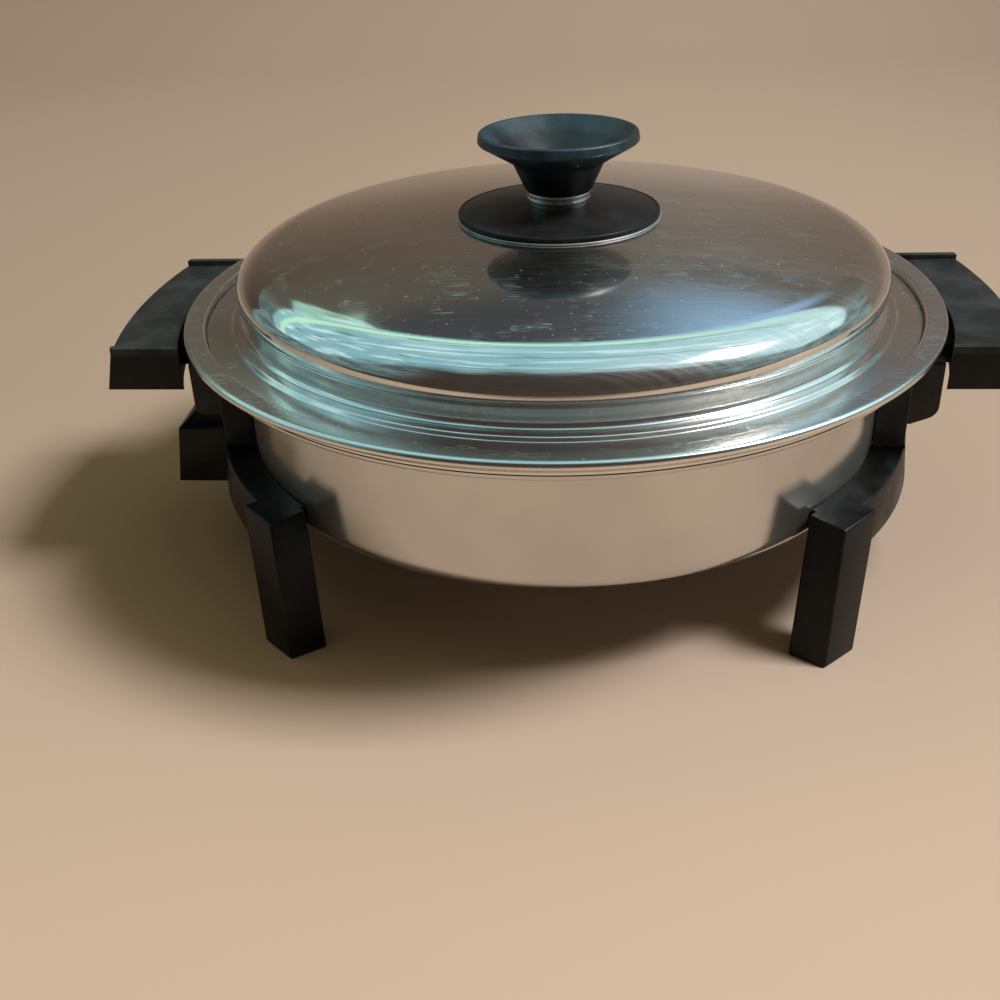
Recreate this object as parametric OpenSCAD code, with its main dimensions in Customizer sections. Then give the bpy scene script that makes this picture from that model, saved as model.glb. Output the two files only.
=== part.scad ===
// Round electric skillet: double-walled steel pan with a lift-off domed lid,
// two side grips standing on leg frames, and a socket for a plug-in heat control.
// Millimetres, +Z up. The origin is on the table, under the middle of the pan.

/* [Pan] */
// Inside radius of the cooking wall
pan_r = 138; // [125:1:150]
// Sheet thickness of the pan
pan_t = 0.9; // [0.6:0.1:1.4]
// Depth from the rim down to the cooking floor
pan_depth = 52; // [44:1:58]
// Inside bend between the wall and the cooking floor
floor_bend_r = 14; // [8:1:20]
// Height of the rim above the table
rim_z = 112; // [104:1:130]
// Width of the ledge that the lid sits on
ledge_w = 18; // [14:1:24]
// Drop from the rim to the lid ledge
ledge_drop = 5; // [3:0.5:7.5]
// Width of the flat rim outside the ledge
rim_w = 9; // [6:1:12]
// Drop from the rim to the seam between pan and jacket
seam_drop = 9; // [8.5:0.5:11]
// Distance of the seam outside the ledge
seam_out = 1.5; // [1.5:0.5:3]

/* [Jacket] */
// Sheet thickness of the outer jacket
jacket_t = 0.6; // [0.4:0.1:1]
// Air gap between the pan wall and the jacket
air_gap = 2; // [1:0.5:4]
// Outside bend between the jacket wall and its floor
jacket_bend_r = 6.3; // [4:0.1:9]
// Space under the heat spreader for the heating element
base_space = 10.3; // [9.6:0.1:14]
// Height of the upright lip that meets the seam
lip_h = 2; // [2:0.5:3]

/* [Lid] */
// Sheet thickness of the lid
lid_t = 0.9; // [0.6:0.1:1.2]
// Gap all round between the lid's edge and the pan
lid_clear = 0.7; // [0.4:0.1:1.5]
// Gap between the lid's turned edge and the ledge
seat_gap = 0.3; // [0.2:0.1:0.5]
// Height of the turned-down edge of the lid
lid_edge_h = 1.4; // [1.4:0.1:2]
// Width of the lid's flat flange
flange_w = 11.1; // [8:0.1:13]
// Height of the raised bead round the neck of the lid
bead_h = 2.6; // [1.5:0.1:3.5]
// Inward step from the bead to the neck
neck_in = 5.2; // [3:0.1:8]
// Overhang of the shoulder past the neck
shoulder_out = 2; // [1:0.1:4]
// Height of the widest part of the shoulder above the rim
shoulder_z = 16.5; // [14:0.5:20]
// Width of the rounded shoulder
shoulder_w = 22; // [16:1:30]
// Height of the rounded shoulder
shoulder_h = 10; // [7:0.5:12]
// Height of the crown above the rim
crown_h = 35.5; // [32:0.5:44]
// Radius of the flat land under the knob
land_r = 13; // [10:1:18]

/* [Knob] */
// Radius of the finger guard disc
guard_r = 43.5; // [36:0.5:52]
// Thickness of the guard disc
guard_t = 1.5; // [1.2:0.1:3]
// Height of the guard disc above the crown
guard_lift = 0.3; // [0.3:0.1:2]
// Thickness of the bright ring under the guard
guard_ring_t = 0.6; // [0.4:0.1:0.7]
// Width of the bright ring
guard_ring_w = 3.6; // [2:0.1:6]
// How far the bright ring shows past the guard
guard_ring_out = 0.6; // [0.2:0.1:1]
// Radius of the ferrule under the knob
ferrule_r = 13; // [11:0.5:13.5]
// Height of the ferrule
ferrule_h = 5.3; // [4:0.1:8]
// Radius of the knob where it stands on the ferrule
knob_foot_r = 14; // [12:0.5:15]
// Radius of the knob at the top of its stem
knob_stem_r = 20.6; // [18:0.1:23]
// Height of the knob's stem
knob_stem_h = 12.5; // [10:0.5:16]
// Greatest radius of the knob
knob_r = 34.3; // [30:0.1:40]
// Height of the whole knob
knob_h = 27.4; // [24:0.1:34]
// Height of the knob's upright rim band
knob_band_h = 5; // [3:0.5:6]
// Thickness of the knob's rim
knob_wall = 2.6; // [2:0.1:4]
// Height of the dish floor above the foot of the knob
knob_floor_h = 11.5; // [10:0.5:14]
// Radius of the dish floor
knob_floor_r = 9; // [7:0.5:12]

/* [Grips] */
// Gap between the pan rim and the grip
grip_gap = 3; // [2:0.5:8]
// Thickness of the grip at its middle
grip_w = 25; // [20:1:32]
// Half the length of the grip
grip_half = 58.5; // [48:0.5:68]
// Height of the grip
grip_h = 15.5; // [14:0.5:20]
// Drop from the rim to the top of the grip
grip_drop = 6; // [4:0.5:8]
// How much flatter than the rim the inner face is curved
grip_in_flat = 4; // [0:1:12]
// Plan radius of the outer face
grip_out_r = 283; // [230:1:340]
// Flare of the outer face at the bottom
grip_flare = 3.8; // [1:0.1:6]
// Radius of the moulded edges
grip_edge_r = 1.5; // [0.8:0.1:2.5]
// Width of the raised ridge at each end
ridge_w = 3.5; // [2.5:0.1:6]
// Height of the raised ridge
ridge_h = 2.5; // [1:0.1:4]
// Wall left round the hollow under the grip
grip_wall = 4; // [3:0.1:6]
// Half the width of the neck and gusset
neck_half = 32; // [30:1:40]
// Thickness of the neck
neck_t = 9; // [8:0.5:11]

/* [Leg frames] */
// Gap between the jacket and the moulded frames
frame_gap = 0.3; // [0.2:0.1:0.6]
// Thickness of the ring band at its top
ring_w = 13.2; // [11:0.1:18]
// Height of the ring band
ring_h = 19.5; // [18:0.5:26]
// Draft of the ring band at its bottom
ring_draft = 2; // [0.5:0.1:3]
// Drop from the cooking floor to the top of the ring band
ring_drop = 2.5; // [2:0.1:3.5]
// Half the width of the post on the wall
post_half = 44; // [42:1:50]
// Reach of the gusset from the wall
gusset_l = 22.7; // [22:0.1:25]
// Height of the gusset's inner lower corner above the ring
gusset_lift = 3.5; // [3.2:0.1:6]
// Rise of the gusset's lower edge towards its outer face
gusset_rise = 4.3; // [2:0.1:6]
// Angle from the grip to the inner side of a leg
leg_a = 38.3; // [34:0.1:44]
// Angle that the top of a leg spans
leg_span = 8.1; // [6:0.1:10]
// How far a leg stands proud of the ring band
leg_proud = 6; // [3:0.1:9]
// Step of the leg's inner face away from the wall
leg_inset = 2.2; // [1:0.1:4]
// Outward splay of the foot
foot_out = 5; // [0:0.5:10]
// Angle that the foot is turned past the top of the leg
foot_turn = 4.2; // [0:0.1:7]
// Radial depth of the foot
foot_d = 15.5; // [12:0.1:20]
// Angle that the foot spans
foot_span = 6.5; // [5:0.1:9]
// Radius of the leg's upright edges
leg_edge_r = 1.2; // [0.6:0.1:2.5]

/* [Heating element] */
// Thickness of the heat spreader plate
spreader_t = 4; // [3:0.5:6]
// Radius of the element's ring
element_r = 88; // [76:1:96]
// Radius of the element's tube
tube_r = 3.2; // [2.6:0.1:3.6]
// Distance between the two terminal pins
pin_pitch = 30; // [26:1:33]
// Bend radius where the ring turns into the terminal legs
tube_bend_r = 12; // [9:1:16]
// Radius of a terminal pin
pin_r = 2.4; // [2:0.1:2.8]
// Length of a terminal pin past the socket's floor
pin_l = 14; // [10:1:16]
// Outer radius of the thermostat sleeve
sleeve_r = 4; // [3.6:0.1:4.4]
// Wall of the thermostat sleeve
sleeve_t = 0.7; // [0.4:0.1:1]
// Length of the thermostat sleeve
sleeve_l = 96; // [80:1:100]

/* [Socket] */
// Half the width of the socket shroud
shroud_half = 36.5; // [36:0.5:40]
// Length of the shroud at its top
shroud_l = 16.2; // [15:0.1:20]
// How much longer the shroud is at its bottom
shroud_slant = 4.5; // [1:0.1:6]
// Depth of the shroud below the terminal pins
shroud_drop = 18.4; // [16:0.1:22]
// Wall of the shroud
shroud_wall = 2.6; // [2:0.1:2.8]
// Size of the bevel round the shroud's top
shroud_bevel = 4.6; // [3:0.1:6]
// Thickness of the terminal plate
plate_t = 1.5; // [1:0.1:2]

/* [Hidden] */
$fn = 96;
steps = 6;               // points along a small bend
cut = 1;                 // how far a cutting solid runs past a face
fit = 0.05;              // radial clearance of a screw, pin or tube in its hole
loose = 0.3;             // gap between moulded parts that lie side by side

// Pan, from the rim down
floor_z = rim_z - pan_depth;
seat_z = rim_z - ledge_drop;
seam_z = rim_z - seam_drop;
collar_r = pan_r + ledge_w;
rim_r = collar_r + rim_w;
seam_r = collar_r + seam_out;
rim_edge_h = 2 * pan_t + 1;
cove_h = 1.6;            // upright strip between the cove under the rim and the seam

// Heating stack under the floor
spreader_top_z = floor_z - pan_t;
spreader_z = spreader_top_z - spreader_t;
spreader_r = pan_r - floor_bend_r - 1;
pin_z = spreader_z - tube_r;
sleeve_z = spreader_z - sleeve_r;

// Jacket
jacket_r = pan_r + pan_t + air_gap + jacket_t;
jacket_floor_z = spreader_z - base_space;
jacket_base_z = jacket_floor_z - jacket_t;
jacket_flange_z = seam_z - lip_h;
jacket_neck_r = 2;       // bend between the jacket wall and its flange

// Lid, from its edge to the crown
lid_edge_r = collar_r - lid_clear;
lid_edge_z = seat_z + seat_gap;
flange_r = lid_edge_r - flange_w;
neck_r = flange_r - neck_in;
shoulder_r = neck_r + shoulder_out;
widest_z = rim_z + shoulder_z;
crown_z = rim_z + crown_h;
blend_a = 72;            // where the shoulder runs into the dome
blend_r = shoulder_r - shoulder_w * (1 - cos(blend_a));
blend_z = widest_z + shoulder_h * sin(blend_a);
dome_rise = crown_z - blend_z;
dome_r = (blend_r * blend_r + dome_rise * dome_rise) / (2 * dome_rise);
land_z = dome_z(land_r);

// Knob, from the land up
guard_z = land_z + guard_lift;
guard_top_z = guard_z + guard_t;
knob_z = guard_top_z + ferrule_h;
knob_screw_r = 3;
knob_screw_head_r = 6;
knob_screw_head_h = 3;
knob_washer_r = 9;
knob_washer_t = 1;

// Moulded frames and grips, right-hand side, mirrored for the left
frame_r = jacket_r + frame_gap;
ring_r = frame_r + ring_w;
ring_top_z = floor_z - ring_drop;
ring_z = ring_top_z - ring_h;
neck_top_z = jacket_flange_z - jacket_neck_r;
block_z = neck_top_z - neck_t;
raw_r = frame_r - 8;      // where the moulding's solids start before the wall cuts them
gusset_x = frame_r + gusset_l;
gusset_in_x = frame_r + 11.2;
gusset_z = ring_top_z + gusset_lift;
gusset_corner_r = 4;
ring_core_w = 6;         // slot that lightens the ring band from below
ring_core_top = 4;       // material left over the slot
post_r = ring_r - 0.3;   // the post stands just inside the ring band's top edge
post_foot_r = 3;         // bend where the post runs into the ring band
post_sink = 0.1;         // how far that bend starts inside the band
leg_in_r = frame_r + leg_inset;
leg_out_r = ring_r + leg_proud;
foot_out_r = leg_out_r + foot_out;
foot_skew = 1.6;         // extra turn of the foot's inner edge
grip_x = rim_r + grip_gap;
grip_in_r = grip_x + grip_in_flat;
grip_out_x = grip_x + grip_w;
grip_z = rim_z - grip_drop - grip_h;
grip_top_z = grip_z + grip_h;
rib_w = 2.5;             // ribs in the hollow under a grip
rib_pitch = 18;
grip_roof = 5;           // material left over that hollow
grip_end_r = 0.8 * grip_edge_r;

// Steel bracket on each side of the jacket, its studs, nuts and washers
weld_gap = 0.1;
bracket_t = 1.5;
bracket_h = 15;
bracket_a = 10;
bracket_up = 0.5;        // over the middle of the post's free face
bracket_z = (gusset_z + gusset_rise / 2 + block_z) / 2 + bracket_up;
stud_y = 10;
stud_r = 2;
nut_seat = 10;           // from the frame's inner face to the nuts' seats
nut_seat_x = frame_r + nut_seat;
nut_pocket_r = 5.5;
nut_r = 4;
nut_t = 3.2;
washer_r = 4.6;
washer_t = 0.8;
stud_past = 1.5;         // stud beyond its nut
stud_end_x = nut_seat_x + washer_t + nut_t + stud_past;

// Upright screws that clamp the grip's neck to the gusset
grip_screw_in = 14.2;    // from the frame's inner face
grip_screw_x = frame_r + grip_screw_in;
grip_screw_y = 24;
grip_screw_r = 2;
grip_screw_head_r = 3.6;
grip_screw_head_h = 2.4;
grip_screw_deep = 12;    // seat below the grip's neck
grip_screw_short = 2;    // end below the neck's top
grip_screw_seat_z = block_z - grip_screw_deep;
grip_screw_end_z = neck_top_z - grip_screw_short;

// Socket on the left-hand frame, worked out on the right and turned round
plate_half = 33.2;
plate_h = 19;
plate_in = 7.7;          // from the frame's inner face
plate_x = frame_r + plate_in;
plate_out_x = plate_x + plate_t;
socket_floor = 1.2;      // least wall under the socket's floor
socket_floor_x = ring_r + ring_draft + loose + socket_floor;
window_half = 25;
window_h = 12;
jacket_window_half = 22;
jacket_window_h = 9.8;
pin_stem_r = pin_r - 0.3; // thinner part of a pin, held in its insulator
insulator_r = pin_r + 1.8;
tube_past = 3.2;         // thermostat tube beyond the frame's inner face
tube_end_x = frame_r + tube_past;
pin_end_x = socket_floor_x + pin_l;
shroud_screw_y = 29.2;
shroud_screw_r = 1.5;
shroud_screw_head_r = 2.8;
shroud_screw_head_h = 1.8;
shroud_screw_l = 13;
shroud_z = pin_z - shroud_drop;
shroud_in_x = ring_r + loose;
shroud_top_x = shroud_in_x + shroud_l;
shroud_low_x = shroud_top_x + shroud_slant;
shroud_side_z = gusset_line_z(shroud_top_x - shroud_bevel) - loose - shroud_bevel;

// Element clips and their screws
clip_t = 0.8;
clip_play = 0.2;
tube_swell = 0.05;       // growth of the tube at each of its two joints
clip_ear = 7.5;
clip_span = 7;
clip_angles = [-130, -50, 50, 130];
clip_screw_r = 1.5;
clip_screw_head_r = 2.6;
clip_screw_head_h = 1.6;
clip_screw_l = 3;
clip_hole_off = tube_r + clip_play + clip_t + clip_ear / 2 - 0.4;

// Middle stud that holds the jacket's floor
base_stud_r = 2.5;
base_spacer_r = 5;
base_nut_r = 5.4;
base_nut_h = 4;
base_stud_end_z = jacket_base_z - base_nut_h - 1.2;

steel = "silver";
dull_steel = "darkgray";
black = "#1d1d1f";

// ---- Curves ---------------------------------------------------------------

function unit(v) = v / norm(v);

// Height of the lid's dome at radius r
function dome_z(r) = crown_z - dome_r + sqrt(dome_r * dome_r - r * r);

// Height of the gusset's lower edge at distance x from the axis
function gusset_line_z(x) = gusset_z + gusset_rise * (x - gusset_in_x) / (gusset_x - gusset_in_x);

// Points on a circle about c
function arc(c, r, a0, a1, n = steps) =
    [for (i = [0:n]) let (a = a0 + (a1 - a0) * i / n) [c.x + r * cos(a), c.y + r * sin(a)]];

// The bend of radius f that replaces corner b between a and c
function bend(a, b, c, f) =
    let (
        u = unit(a - b),
        w = unit(c - b),
        half = acos(u * w) / 2,
        o = b + unit(u + w) * f / sin(half),
        s = b + u * f / tan(half) - o,
        e = b + w * f / tan(half) - o,
        t0 = atan2(s.y, s.x),
        turn = (atan2(e.y, e.x) - t0 + 540) % 360 - 180
    )
    arc(o, f, t0, t0 + turn);

function flat(v) = [v.x, v.y];

// A path through vertices [r, z, bend radius]; the ends stay sharp
function bent(v) = [
    for (i = [0:len(v) - 1])
        each (i == 0 || i == len(v) - 1 || v[i][2] == 0 || len(v[i]) == 2)
            ? [flat(v[i])]
            : bend(flat(v[i - 1]), flat(v[i]), flat(v[i + 1]), v[i][2])
];

// A closed outline with every corner rounded as its vertex says
function rounded(v) = let (n = len(v)) [
    for (i = [0:n - 1])
        each v[i][2] == 0
            ? [flat(v[i])]
            : bend(flat(v[(i + n - 1) % n]), flat(v[i]), flat(v[(i + 1) % n]), v[i][2])
];

function side(a, b) = let (d = unit(b - a)) [-d.y, d.x];

// The path p moved t to its left
function moved(p, t) = let (n = len(p)) [
    for (i = [0:n - 1])
        let (
            before = side(p[max(i - 1, 0)], p[max(i, 1)]),
            after = side(p[min(i, n - 2)], p[min(i + 1, n - 1)])
        )
        p[i] + (before + after) * t / (1 + before * after)
];

// The outline of a sheet of thickness t on the left of path p
function sheet(p, t) =
    let (q = moved(p, t)) concat(p, [for (i = [len(q) - 1:-1:0]) q[i]]);

function polar(r, a) = [r * cos(a), r * sin(a)];

// ---- Helpers --------------------------------------------------------------

// A solid of revolution about Z
module turned(outline) {
    rotate_extrude() polygon(outline);
}

// A sector of a solid of revolution, half the angle to each side of +X
module sector(outline, half) {
    rotate([0, 0, -half]) rotate_extrude(angle = 2 * half) polygon(outline);
}

// A shape drawn in X and Z, given a thickness along Y
module across(outline, half) {
    translate([0, half, 0]) rotate([90, 0, 0]) linear_extrude(2 * half) polygon(outline);
}

// A shape drawn in Y and Z, given a length along X
module along(outline, x0, x1) {
    translate([x0, 0, 0]) rotate([90, 0, 90]) linear_extrude(x1 - x0) polygon(outline);
}

module box(x0, x1, half, z0, z1) {
    translate([x0, -half, z0]) cube([x1 - x0, 2 * half, z1 - z0]);
}

// A round bar along X
module bar_x(r, x0, x1, y, z) {
    translate([x0, y, z]) rotate([0, 90, 0]) cylinder(h = x1 - x0, r = r);
}

// A round bar along Z
module bar_z(r, z0, z1, x = 0, y = 0) {
    translate([x, y, z0]) cylinder(h = z1 - z0, r = r);
}

module both_sides() {
    for (s = [-1, 1]) scale([1, s, 1]) children();
}

// ---- Pan and jacket -------------------------------------------------------

module cooking_pan() {
    skin = bent([
        [0, floor_z],
        [pan_r, floor_z, floor_bend_r],
        [pan_r, seat_z, pan_t + 1.3],
        [collar_r, seat_z, pan_t + 0.2],
        [collar_r, rim_z, pan_t + 0.3],
        [rim_r, rim_z, pan_t + 0.7],
        [rim_r, rim_z - rim_edge_h, pan_t + 0.5],
        [seam_r, seam_z + cove_h, 1],
        [seam_r, seam_z]
    ]);
    color(steel) turned(sheet(skin, -pan_t));
}

module outer_jacket() {
    skin = bent([
        [0, jacket_base_z],
        [jacket_r, jacket_base_z, jacket_bend_r],
        [jacket_r, jacket_flange_z, jacket_neck_r],
        [seam_r, jacket_flange_z, jacket_t + 0.6],
        [seam_r, seam_z]
    ]);
    color(steel) difference() {
        turned(sheet(skin, jacket_t));
        bar_z(base_stud_r + loose, jacket_base_z - cut, jacket_floor_z + cut);
        rotate([0, 0, 180])
            box(jacket_r - 2 * jacket_bend_r, jacket_r + cut, jacket_window_half,
                sleeve_z - jacket_window_h / 2, sleeve_z + jacket_window_h / 2);
    }
}

// ---- Heating stack --------------------------------------------------------

module heat_spreader() {
    color(dull_steel) difference() {
        bar_z(spreader_r, spreader_z, spreader_top_z);
        at_clip_screws() bar_z(clip_screw_r + fit, spreader_z - cut, spreader_z + clip_screw_l);
    }
}

// The ring of the element, the two bends back and the straight terminal legs
module heating_element() {
    leg_y = pin_pitch / 2;
    bend_x = sqrt(pow(element_r + tube_bend_r, 2) - pow(leg_y + tube_bend_r, 2));
    join_a = atan2(leg_y + tube_bend_r, bend_x);
    lap = 0.3;               // each stretch of tube starts inside the last one
    lap_a = lap / tube_bend_r * 180 / PI;
    color("dimgray") rotate([0, 0, 180]) translate([0, 0, pin_z]) {
        rotate([0, 0, join_a])
            rotate_extrude(angle = 360 - 2 * join_a) translate([element_r, 0]) circle(tube_r);
        both_sides() translate([bend_x, leg_y + tube_bend_r, 0])
            rotate([0, 0, 180 + join_a - lap_a]) rotate_extrude(angle = 90 - join_a + lap_a)
                translate([tube_bend_r, 0]) circle(tube_r + tube_swell);
        both_sides() bar_x(tube_r + 2 * tube_swell, bend_x - lap, tube_end_x, leg_y, 0);
    }
}

module at_clip_screws() {
    for (a = clip_angles, s = [-1, 1])
        rotate([0, 0, a]) translate([element_r + s * clip_hole_off, 0, 0]) children();
}

module element_clips() {
    inner = tube_r + clip_play;
    outer = inner + clip_t;
    ear = outer + clip_ear;
    ear_z = spreader_z - clip_t;
    c = [element_r, pin_z];
    outline = concat(
        [[c.x - ear, spreader_z], [c.x - ear, ear_z], [c.x - outer, ear_z]],
        arc(c, outer, 180, 360, 2 * steps),
        [[c.x + outer, ear_z], [c.x + ear, ear_z], [c.x + ear, spreader_z], [c.x + inner, spreader_z]],
        arc(c, inner, 360, 180, 2 * steps),
        [[c.x - inner, spreader_z]]
    );
    color(steel) difference() {
        for (a = clip_angles) rotate([0, 0, a]) sector(outline, clip_span / 2);
        at_clip_screws() bar_z(clip_screw_r + loose, ear_z - cut, spreader_z + cut);
    }
}

module clip_screws() {
    head_z = spreader_z - clip_t;
    color(dull_steel) at_clip_screws() {
        bar_z(clip_screw_r, head_z, spreader_z + clip_screw_l - fit);
        bar_z(clip_screw_head_r, head_z - clip_screw_head_h, head_z);
    }
}

module thermostat_sleeve() {
    mouth_x = socket_floor_x + 0.5;
    color(steel) rotate([0, 0, 180]) difference() {
        bar_x(sleeve_r, mouth_x - sleeve_l, mouth_x, 0, sleeve_z);
        bar_x(sleeve_r - sleeve_t, mouth_x - sleeve_l + 2 * sleeve_t, mouth_x + cut, 0, sleeve_z);
    }
}

// ---- Socket ---------------------------------------------------------------

module terminal_pins() {
    color(steel) rotate([0, 0, 180]) both_sides() {
        bar_x(pin_stem_r, tube_end_x, socket_floor_x, pin_pitch / 2, pin_z);
        bar_x(pin_r, socket_floor_x, pin_end_x - 1, pin_pitch / 2, pin_z);
        translate([pin_end_x - 1, pin_pitch / 2, pin_z]) rotate([0, 90, 0])
            cylinder(h = 1, r1 = pin_r, r2 = pin_r - 0.8);
    }
}

module pin_insulators() {
    color("ivory") rotate([0, 0, 180]) both_sides() difference() {
        bar_x(insulator_r, tube_end_x, socket_floor_x, pin_pitch / 2, pin_z);
        bar_x(pin_stem_r + fit, tube_end_x - cut, socket_floor_x + cut, pin_pitch / 2, pin_z);
    }
}

// The holes that the sleeve, the insulators and the screws take through the socket
module socket_holes(x0, x1, gap, screw_gap) {
    bar_x(sleeve_r + gap, x0, x1, 0, sleeve_z);
    both_sides() {
        bar_x(insulator_r + gap, x0, x1, pin_pitch / 2, pin_z);
        bar_x(shroud_screw_r + screw_gap, x0, x1, shroud_screw_y, sleeve_z);
    }
}

module terminal_plate() {
    color(dull_steel) rotate([0, 0, 180]) difference() {
        box(plate_x, plate_out_x, plate_half, sleeve_z - plate_h / 2, sleeve_z + plate_h / 2);
        socket_holes(plate_x - cut, plate_out_x + cut, 2 * fit, 2 * fit);
    }
}

// The shroud's outer form, taken in by w on every side but its mouth
module shroud_form(w) {
    low_z = shroud_z + w;
    top_z = gusset_line_z(shroud_top_x - shroud_bevel) - loose - w;
    back_z = gusset_line_z(shroud_in_x) - loose - w;
    back_x = shroud_in_x - 2 * ring_draft - 8;
    out = w > 0 ? cut : 0;
    intersection() {
        across([
            [back_x, low_z],
            [shroud_low_x + out, low_z],
            [shroud_top_x + out, shroud_side_z - w],
            [shroud_top_x - shroud_bevel + out, top_z],
            [shroud_in_x, back_z],
            [back_x, back_z]
        ], shroud_half - w);
        along([
            [-shroud_half + w, low_z],
            [shroud_half - w, low_z],
            [shroud_half - w, shroud_side_z - w],
            [shroud_half - shroud_bevel - w / 2, top_z],
            [-shroud_half + shroud_bevel + w / 2, top_z],
            [-shroud_half + w, shroud_side_z - w]
        ], back_x, shroud_low_x + 2 * cut);
    }
}

module terminal_shroud() {
    pad_half = plate_half;
    color(black) rotate([0, 0, 180]) difference() {
        union() {
            difference() {
                shroud_form(0);
                turned(frame_outline(loose));
            }
            box(plate_out_x, socket_floor_x, pad_half,
                sleeve_z - plate_h / 2, sleeve_z + plate_h / 2);
        }
        intersection() {
            shroud_form(shroud_wall);
            box(socket_floor_x, shroud_low_x + 2 * cut, shroud_half,
                shroud_z - cut, rim_z);
        }
        socket_holes(plate_out_x - cut, socket_floor_x + cut, 2 * fit, 2 * fit);
    }
}

module shroud_screws() {
    color(steel) rotate([0, 0, 180]) both_sides() {
        bar_x(shroud_screw_r, socket_floor_x - shroud_screw_l, socket_floor_x,
              shroud_screw_y, sleeve_z);
        bar_x(shroud_screw_head_r, socket_floor_x, socket_floor_x + shroud_screw_head_h,
              shroud_screw_y, sleeve_z);
    }
}

// ---- Leg frames -----------------------------------------------------------

// Half section of everything inside the frame's outer face, grown by gap
function frame_outline(gap) = [
    [0, ring_z - 2 * ring_h],
    [ring_r + ring_draft + gap, ring_z - 2 * ring_h],
    [ring_r + ring_draft + gap, ring_z],
    [ring_r + gap, ring_top_z],
    [ring_r + gap, rim_z],
    [0, rim_z]
];

// One leg: a straight taper from its block on the ring band down to the foot
module leg() {
    e = leg_edge_r;
    top = [
        polar(leg_in_r + e, leg_a + 0.5),
        polar(leg_out_r - e, leg_a + 0.5),
        polar(leg_out_r - e, leg_a + leg_span - 0.5),
        polar(leg_in_r + e, leg_a + leg_span - 0.5)
    ];
    foot_a = leg_a + leg_span / 2 + foot_turn - foot_span / 2 + 0.5;
    foot_b = foot_a + foot_span - 1;
    foot = [
        polar(foot_out_r - foot_d + e, foot_a + foot_skew),
        polar(foot_out_r - e, foot_a),
        polar(foot_out_r - e, foot_b),
        polar(foot_out_r - foot_d + e, foot_b + foot_skew)
    ];
    sole = 0.4;
    hull() {
        for (p = top) translate([p.x, p.y, ring_top_z - sole]) cylinder(h = sole, r = e, $fn = 16);
        for (p = foot) translate([p.x, p.y, 0]) cylinder(h = sole, r = e, $fn = 16);
    }
}

// The right-hand moulding: ring band, post, gusset and two legs
module leg_frame() {
    end_a = leg_a + leg_span * 0.8;
    post_a = asin(post_half / ring_r);
    core_in = frame_r + (ring_w - ring_core_w) / 2;
    core = [
        [core_in, ring_z - cut],
        [core_in + ring_core_w, ring_z - cut],
        [core_in + ring_core_w - 0.6, ring_top_z - ring_core_top],
        [core_in + 0.6, ring_top_z - ring_core_top]
    ];
    core_mid = (post_a + leg_a) / 2;
    difference() {
        union() {
            sector([
                [raw_r, ring_z],
                [ring_r + ring_draft, ring_z],
                [ring_r, ring_top_z],
                [raw_r, ring_top_z]
            ], end_a);
            intersection() {
                turned([
                    [raw_r, ring_top_z - 2 * post_foot_r],
                    [post_r, ring_top_z - 2 * post_foot_r],
                    [post_r, block_z],
                    [raw_r, block_z]
                ]);
                along(post_outline(), 0, ring_r + cut);
            }
            across(bent_gusset(), neck_half);
            both_sides() leg();
        }
        bar_z(frame_r, ring_z - cut, rim_z);
        for (s = [-1, 1]) rotate([0, 0, s * core_mid])
            sector(core, (leg_a - post_a) / 2 - 0.5);
        sector([
            [frame_r - cut, bracket_z - bracket_h / 2 - loose],
            [frame_r + bracket_t, bracket_z - bracket_h / 2 - loose],
            [frame_r + bracket_t, bracket_z + bracket_h / 2 + loose],
            [frame_r - cut, bracket_z + bracket_h / 2 + loose]
        ], bracket_a + 0.2);
        both_sides() {
            bar_x(stud_r + 2 * fit, frame_r, gusset_x, stud_y, bracket_z);
            bar_x(nut_pocket_r, nut_seat_x, gusset_x + cut, stud_y, bracket_z);
            bar_z(grip_screw_r + 2 * fit, gusset_z, block_z + cut, grip_screw_x, grip_screw_y);
            bar_z(grip_screw_head_r + loose, gusset_z - cut, grip_screw_seat_z,
                  grip_screw_x, grip_screw_y);
        }
    }
}

// The post across the wall, with a bend at each foot
function post_outline() =
    let (f = post_foot_r, z0 = ring_top_z - 2 * f, z1 = ring_top_z - post_sink + f) concat(
        [[-post_half - f, z0], [post_half + f, z0]],
        arc([post_half + f, z1], f, 270, 180),
        [[post_half, block_z], [-post_half, block_z]],
        arc([-post_half - f, z1], f, 360, 270)
    );

// The gusset seen from the front
function bent_gusset() = rounded([
    [raw_r, gusset_line_z(gusset_in_x), 0],
    [gusset_in_x, gusset_line_z(gusset_in_x), 0],
    [gusset_x, gusset_line_z(gusset_x), gusset_corner_r],
    [gusset_x, block_z, 0],
    [raw_r, block_z, 0]
]);

module leg_frame_right() {
    color(black) leg_frame();
}

// The left-hand moulding also takes the terminal plate and the socket
module leg_frame_left() {
    color(black) rotate([0, 0, 180]) difference() {
        leg_frame();
        box(raw_r, plate_x + cut, window_half,
            sleeve_z - window_h / 2, sleeve_z + window_h / 2);
        box(plate_x, ring_r + ring_draft + cut, plate_half + loose,
            sleeve_z - plate_h / 2 - loose, sleeve_z + plate_h / 2 + loose);
        both_sides() bar_x(shroud_screw_r + fit, socket_floor_x - shroud_screw_l - fit,
                           plate_x + cut, shroud_screw_y, sleeve_z);
    }
}

// ---- Grips ----------------------------------------------------------------

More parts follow.
